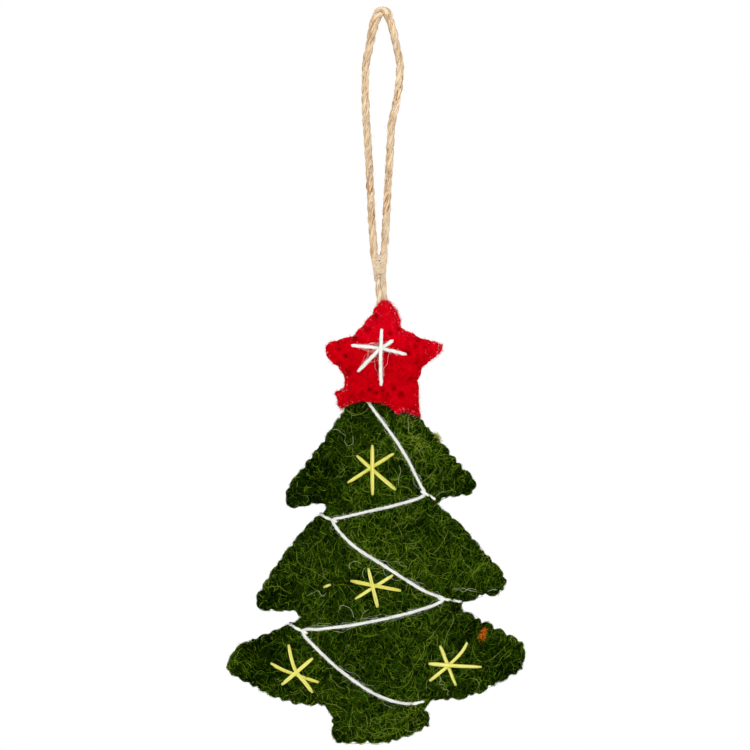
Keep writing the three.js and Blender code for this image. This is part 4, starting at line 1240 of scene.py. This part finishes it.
# The nap: wool fibres that have worked loose from the felt. Most curl flat over its faces,
# short ones stand off all round the cut edges, and the white yarn is fuzzy with them too.
# A row of tree_naps: name, count, facing, length, curl, lift, points, shake, thickness and shades.
tree_naps = [
    ("tree_nap_front", 8000, -1, (1.0, 3.6), 0.42, (0.04, 0.2), 6, 0.3, (0.03, 0.065), (0.29, 0.3, 0.88)),
    ("tree_nap_front_upper", 8000, -1, (1.0, 3.6), 0.42, (0.16, 0.44), 6, 0.3, (0.03, 0.065), (0.4, 0.3, 0.88)),
    ("tree_nap_back", 8000, 1, (1.0, 3.6), 0.42, (0.04, 0.2), 6, 0.3, (0.03, 0.065), (0.44, 0.3, 0.88)),
    ("tree_nap_fine", 2600, -1, (2.5, 8), 0.16, (0.15, 0.5), 9, 0.17, (0.022, 0.042), (0.64, 0.17, 0.915)),
    ("tree_nap_fine_back", 2600, 1, (2.5, 8), 0.16, (0.15, 0.5), 9, 0.17, (0.022, 0.042), (0.64, 0.17, 0.915))]
edge_lying, edge_standing = 2600, 3400
# Painted highlights on the edge nap at the left and right tips of the lowest tier, as (x, z, reach, amount) in
# mm.
edge_painted_highlights = [(-40.5, -167.5, 5, 0.2), (36, -165, 5, 0.1)]


def surface_spots(piece, count, dice, keep):
    """Random spots on a piece, spread evenly by area over the faces that keep picks, with their normals."""
    mesh = piece.data
    total = len(mesh.polygons)
    centre, normal, area = np.empty(total * 3), np.empty(total * 3), np.empty(total)
    mesh.polygons.foreach_get("center", centre)
    mesh.polygons.foreach_get("normal", normal)
    mesh.polygons.foreach_get("area", area)
    centre, normal = centre.reshape(-1, 3), normal.reshape(-1, 3)
    weight = area * keep(centre, normal)
    pick = dice.choice(total, count, p=weight / weight.sum())
    return centre[pick] + dice.normal(0, 0.12 * mm, (count, 3)), normal[pick]


def crawling_fibres(skin, spots, normals, length, curl, lift, dice, points=7, shake=0.3):
    """Curly fibres that keep to a surface, both ends in it and the middle a little above it.
    One that would leap a gap stops short at its edge."""
    count = len(spots)
    first = unit(np.cross(normals, dice.normal(0, 1, (count, 3))))
    second = np.cross(normals, first)
    step = dice.uniform(*length, count) / (points - 1)
    angle = np.zeros(count)
    turn = dice.normal(0, curl, count)
    paths = np.empty((count, points, 3))
    here = spots.copy()
    rise = dice.uniform(*lift, count)
    for k in range(points):
        arch = math.sin(math.pi * k / (points - 1)) ** 0.6
        for i in range(count):
            place, face, _, _ = skin.find_nearest(here[i])
            paths[i, k] = np.array(place + face * (rise[i] * arch - 0.05 * mm))
        angle = angle + turn + dice.normal(0, shake, count)
        here = here + step[:, None] * (first * np.cos(angle)[:, None] + second * np.sin(angle)[:, None])
    for k in range(2, points):
        lost = np.linalg.norm(paths[:, k] - paths[:, k - 1], axis=1) > 1.9 * step
        paths[lost, k] = paths[lost, k - 1] + 0.3 * (paths[lost, k - 1] - paths[lost, k - 2])
    return paths


green_nap = fibre_finish("green_nap", [
    (0.0, srgb(3, 10, 0)), (0.2, srgb(12, 28, 1)), (0.4, srgb(32, 58, 7)), (0.55, srgb(56, 86, 9)),
    (0.68, srgb(92, 121, 16)), (0.8, srgb(78, 129, 26)), (0.9, srgb(146, 166, 36)),
    (0.96, srgb(182, 190, 128)), (1.0, srgb(226, 231, 212))],
    streak=0.05, roughness=0.9, sheen=0.0, bump=0.0, specular=0.0)
dice = np.random.default_rng(41)


def wool_tints(places, middle, spread, palest):
    """A shade for each fibre: mixed at random, cloudy over the felt, and darker or paler with the painted
    shading of the felt under it.
    """
    cloud = 0.07 * lumps(places, 6 * mm, np.random.default_rng(8))
    mixed = dice.normal(middle, spread, len(places)) + (dice.uniform(0, 1, len(places)) > 0.9) * 0.2
    # The nap takes on the felt's painted shade and painted highlights, and its mottle.
    dark = painted_shading_and_mottle(places)
    return np.clip(mixed + cloud - np.where(dark > 0, 0.2, 0.28) * dark, 0.01, palest)


for nap_name, count, facing, length, curl, lift, points, shake, thickness, shades in tree_naps:
    spots, normals = surface_spots(
        tree, count, dice, lambda c, n: (n[:, 1] * facing > 0.15) * (c[:, 1] * facing > 0.3 * mm))
    paths = crawling_fibres(tree_skin, spots, normals, np.array(length) * mm, curl, np.array(lift) * mm, dice,
                            points, shake)
    nap = strands(nap_name, paths, dice.uniform(*np.array(thickness) * mm, (count, 1)), 3,
                  wool_tints(spots, *shades))
    nap.data.materials.append(green_nap)
    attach(nap, "ornament")

spots, normals = surface_spots(
    tree, edge_lying + edge_standing, dice,
    lambda c, n: (edge_places(c[:, [0, 2]], tree_outline)[0] < 1.8 * mm) * 1.0)
edge_paths = np.concatenate([
    crawling_fibres(tree_skin, spots[:edge_lying], normals[:edge_lying], (1.0 * mm, 3.0 * mm), 0.45,
                    (0.04 * mm, 0.25 * mm), dice, 6),
    stray_fibres(spots[edge_lying:], normals[edge_lying:] * 0.7, (0.2 * mm, 0.8 * mm), 0.5, dice, 6)])
# The edge nap is paler than the face nap: partly the loose fuzz's own colour and partly a painted rim light.
fuzz_and_painted_rim_tints = np.concatenate([np.clip(dice.normal(0.64, 0.16, edge_lying), 0.1, 0.92),
                             np.clip(dice.normal(0.74, 0.13, edge_standing), 0.2, 0.95)])
for x, z, reach, amount in edge_painted_highlights:
    fuzz_and_painted_rim_tints += amount * patch_at(spots, x, z, reach)
edge_thickness = np.repeat((0.05 * mm, 0.032 * mm), (edge_lying, edge_standing))[:, None]
edge_nap = strands("tree_nap_edge", edge_paths, edge_thickness, 3, np.clip(fuzz_and_painted_rim_tints, 0.1, 0.95))
edge_nap.data.materials.append(green_nap)
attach(edge_nap, "ornament")

star_lying, star_frizz = 1500, 1700
star_frayed = [
    (3.6, -77.2, 3.2), (14.5, -86.0, 2.2), (9.6, -103.8, 3.0), (-11.4, -101.0, 2.6), (4.0, -102.4, 2.2),
    (1.0, -74.6, 1.6)]
red_nap = fibre_finish("red_nap", [
    (0.0, srgb(160, 0, 6)), (0.35, srgb(216, 0, 20)), (0.62, srgb(242, 2, 38)), (0.82, srgb(246, 130, 142)),
    (1.0, srgb(253, 236, 234))], streak=0.05, roughness=0.9, sheen=0.0, bump=0.0, specular=0.0)


def frayed(facing):
    """Picks the cut edge of the star on one side, most of all where it is worn."""
    def keep(c, n):
        worn = np.full(len(c), 0.6)
        for x, z, reach in star_frayed:
            worn += 2.2 * patch_at(c, x, z, reach)
        return (edge_places(c[:, [0, 2]], star_outline)[0] < 0.9 * mm) * (n[:, 1] * facing > -0.4) * worn
    return keep


star_nap_pieces = []
for felt_name, felt in star_felts.items():
    facing = -1 if "front" in felt_name else 1
    spots, normals = surface_spots(felt, star_lying, dice, lambda c, n: (n[:, 1] * facing > 0.2) * (
        1 + 2 * smoothstep(c[:, 2], -88 * mm, -80 * mm)))
    paths = crawling_fibres(
        skin_of(felt), spots, normals, (1.2 * mm, 3.4 * mm), 0.45, (0.02 * mm, 0.2 * mm), dice)
    # Paler up the peak and out on the arms, and darker on the left arm, which is painted shade.
    shades = dice.normal(0.34, 0.06, star_lying) + 0.22 * upper_or_arm(spots)
    shades -= 0.14 * smoothstep(-spots[:, 0], 8 * mm, 12 * mm)
    star_nap_pieces.append(strands("lying", paths, 0.045 * mm, 3, np.clip(shades, 0.02, 0.8), (0, 0.5)))
    spots, normals = surface_spots(felt, star_frizz, dice, frayed(facing))
    paths = stray_fibres(spots, normals * 0.5, (0.3 * mm, 1.2 * mm), 0.55, dice, 6)
    shades = np.clip(dice.normal(0.64, 0.18, star_frizz), 0.2, 1.0)
    star_nap_pieces.append(strands("frizz", paths, 0.032 * mm, 3, shades, (0.5, 1)))
star_nap = joined("star_nap", star_nap_pieces)
star_nap.data.materials.append(red_nap)
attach(star_nap, "ornament")

wisp_points = 9
fuzzy_yarns = [(garland_path, tree_skin, 4200, 90)] + [(path, star_skin, 330, 14) for path in white_paths]
yarn_nap_pieces = []
for path, skin, close, wide in fuzzy_yarns:
    pick = dice.integers(5, len(path) - 5, close)
    side = dice.normal(0, 1, (close, 3))
    side[:, 1] = -np.abs(side[:, 1]) * 0.6
    side = unit(side)
    ahead = unit(np.gradient(path, axis=0)[pick]) * dice.choice((-1, 1), (close, 1))
    paths = stray_fibres(path[pick] + side * 0.3 * mm, side + ahead * 0.7, (0.3 * mm, 1.2 * mm), 0.4, dice, 6)
    yarn_nap_pieces.append(strands("yarn_fuzz", paths, 0.02 * mm, 3, dice.uniform(0.4, 1.0, close)))
    wisps = []
    t = np.linspace(0, 1, wisp_points)
    while len(wisps) < wide:
        first = dice.integers(2, len(path) - 26)
        part = evened(path[first:first + dice.integers(7, 24)], wisp_points)
        ahead = part[-1] - part[0]
        across = np.array((-ahead[2], 0, ahead[0])) / np.linalg.norm(ahead)
        out = dice.normal(0, 0.75 * mm) * np.sin(math.pi * t * dice.uniform(0.55, 1.0))
        out = out + 0.2 * mm * np.sin(t * dice.uniform(3, 18))
        places = [on_front(skin, p[0] + across[0] * o, p[2] + across[2] * o, dice.uniform(0.1, 0.3) * mm)
                  for p, o in zip(part, out)]
        if all(p is not None for p in places):
            wisps.append(np.array(places))
    yarn_nap_pieces.append(strands("yarn_wisps", np.array(wisps), 0.02 * mm, 3, dice.uniform(0.2, 1.0, wide)))
yarn_nap = joined("yarn_nap", yarn_nap_pieces)
yarn_nap.data.materials.append(white_yarn)
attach(yarn_nap, "ornament")

# Stray hairs: single long pale hairs of wool, caught in the nap and lying loosely over it,
# and a few odd tufts of other wool that have been felted into the tree's edge and front.
long_hairs = [
    (0.98, [(-13.5, -107.4), (-12.0, -107.4), (-10.8, -108.4), (-9.9, -109.0), (-10.2, -110.4), (-9.2, -111.6),
            (-8.0, -110.9), (-8.1, -108.8)]),
    (0.91, [(-10.4, -101.8), (-8.8, -102.8), (-6.7, -103.5), (-4.9, -102.8), (-3.8, -101.6)]),
    (0.9, [(-10.2, -114.3), (-8.8, -114.3), (-7.3, -114.1), (-5.9, -113.3), (-4.2, -112.7)]),
    (0.96, [(4.0, -116.6), (4.4, -118.2), (3.8, -120.3), (4.0, -122.3)]),
    (0.97, [(6.5, -104.0), (6.3, -105.0), (6.5, -106.2), (6.4, -107.8)]),
    (0.91, [(7.1, -112.9), (9.2, -112.7), (10.2, -113.7), (10.0, -115.0), (8.8, -115.6)]),
    (0.92, [(14.5, -114.1), (16.0, -113.9), (17.4, -114.1)]),
    (0.9, [(4.7, -108.4), (6.3, -109.2), (8.3, -109.6), (9.6, -109.2)]),
    (0.98, [(13.5, -124.8), (14.5, -124.0), (15.5, -123.4)]),
    (0.9, [(-23.2, -137.3), (-22.7, -139.1), (-22.4, -141.4), (-21.1, -143.0), (-19.1, -143.6), (-17.0, -144.9),
           (-15.4, -145.9), (-14.4, -146.7)]),
    (0.98, [(-19.9, -150.6), (-18.3, -149.8), (-16.8, -149.3), (-16.4, -150.4), (-15.6, -150.6),
            (-14.8, -149.6)]),
    (0.88, [(-17.0, -140.1), (-16.4, -141.8), (-16.0, -143.4)]),
    (0.89, [(-13.2, -147.5), (-11.7, -147.6), (-9.4, -147.8)]),
    (0.9, [(-13.8, -151.0), (-12.9, -150.0), (-12.1, -149.4)]),
    (0.98, [(-8.5, -143.7), (-9.0, -142.7), (-8.5, -142.0), (-7.6, -141.7), (-6.5, -141.9), (-5.8, -142.4)]),
    (0.97, [(-5.2, -146.0), (-5.5, -144.8), (-5.3, -143.9), (-4.5, -143.1)]),
    (0.96, [(2.5, -141.7), (3.7, -141.7), (4.5, -142.6), (6.2, -143.1)]),
    (0.98, [(-11.5, -154.3), (-11.1, -153.1), (-9.4, -153.5), (-8.2, -154.7), (-7.8, -156.4)]),
    (0.96, [(-3.9, -154.1), (-5.1, -154.9), (-5.75, -156.0), (-5.95, -156.8)]),
    (0.92, [(12.5, -139.9), (14.4, -138.1), (15.6, -136.2), (16.85, -133.4)]),
    (0.86, [(18.6, -142.4), (20.0, -139.4), (20.4, -137.2)]),
    (0.98, [(17.6, -149.1), (19.6, -149.0), (20.8, -149.6), (22.0, -148.7), (23.9, -149.0), (25.4, -149.9),
            (26.7, -149.5), (28.2, -149.0), (29.7, -149.0)]),
    (0.98, [(17.9, -148.7), (20.4, -148.6), (22.4, -149.2), (24.6, -149.6), (25.4, -150.4)]),
    (0.93, [(15.5, -163.2), (16.8, -159.9), (17.9, -157.7), (18.2, -156.1), (16.8, -154.4)]),
    (0.95, [(11.1, -162.1), (12.4, -161.2), (13.3, -159.6)]),
    (0.91, [(10.3, -162.3), (10.6, -164.4), (9.4, -166.8), (7.9, -169.0), (6.5, -171.4), (5.1, -172.1)]),
    (0.91, [(1.7, -170.4), (2.2, -171.9), (2.6, -172.6)]),
    (0.98, [(14.0, -170.6), (14.9, -172.4), (14.4, -173.4), (15.9, -173.9), (15.4, -174.7), (16.9, -175.3),
            (16.4, -176.0), (17.1, -176.5)]),
    (0.93, [(22.3, -171.9), (24.2, -172.5), (25.1, -174.0)]),
    (0.93, [(-17.9, -177.0), (-15.5, -178.2), (-12.2, -178.9)]),
    (0.96, [(5.5, -185.5), (7.9, -185.7), (9.4, -184.5)])]
hair_points = 26
hair_paths = []
for _, hair in long_hairs:
    line = evened(smooth_route(seen_on(tree_skin, hair), 0.2 * mm), hair_points)
    sway = 0.16 * mm * np.sin(np.linspace(0, dice.uniform(4, 12), hair_points) + dice.uniform(*any_angle))
    path = [on_front(tree_skin, x, z, 0.3 * mm) for x, z in line]
    path = evened(np.array([p for p in path if p is not None]), hair_points)
    path[:, 1] += sway
    hair_paths.append(path)
long_hair = strands("long_hairs", hair_paths, 0.038 * mm, 4, [shade for shade, _ in long_hairs])
long_hair.data.materials.append(green_nap)
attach(long_hair, "ornament")

tuft_spread = 0.34 * mm
few_fibres = 20
odd_tufts = {
    "orange_tuft": (((25.7, -161.3), (26.1, -159.9)), 190, 0.45 * mm, [
        (0.0, srgb(134, 44, 0)), (0.5, srgb(212, 92, 8)), (1.0, srgb(244, 156, 54))]),
    "straw_tuft": (((13.6, -108.6), (14.5, -109.9)), 70, 1.1 * mm, [
        (0.0, srgb(150, 150, 40)), (0.5, srgb(214, 206, 96)), (1.0, srgb(240, 236, 160))]),
    "red_tuft": (((-3.0, -146.6), (10.9, -147.8)), 9, 0.35 * mm, [
        (0.0, srgb(120, 0, 4)), (0.5, srgb(180, 20, 20)), (1.0, srgb(210, 60, 50))])}
for tuft_name, (centres, count, lift, stops) in odd_tufts.items():
    flat = seen_on(tree_skin, centres)[dice.integers(0, 2, count)] + dice.normal(0, tuft_spread, (count, 2))
    spots = np.empty((count, 3))
    for i, (x, z) in enumerate(flat):
        spot = on_front(tree_skin, x, z)
        spots[i] = spot if spot is not None else tree_skin.find_nearest((x, -1 * mm, z))[0]
    normals = np.tile((0.0, -1.0, 0.0), (count, 1))
    paths = crawling_fibres(tree_skin, spots, normals, (0.5 * mm, 1.3 * mm), 0.7, (0.1 * mm, lift), dice, 6)
    thickness = (0.03 if count < few_fibres else 0.05) * mm
    tuft = strands(tuft_name, paths, thickness, 3, dice.uniform(0, 1, count))
    tuft_wool = fibre_finish(tuft_name + "_wool", stops, streak=0.1, sheen=0.0, bump=0.0, specular=0.0)
    tuft.data.materials.append(tuft_wool)
    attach(tuft, "ornament")
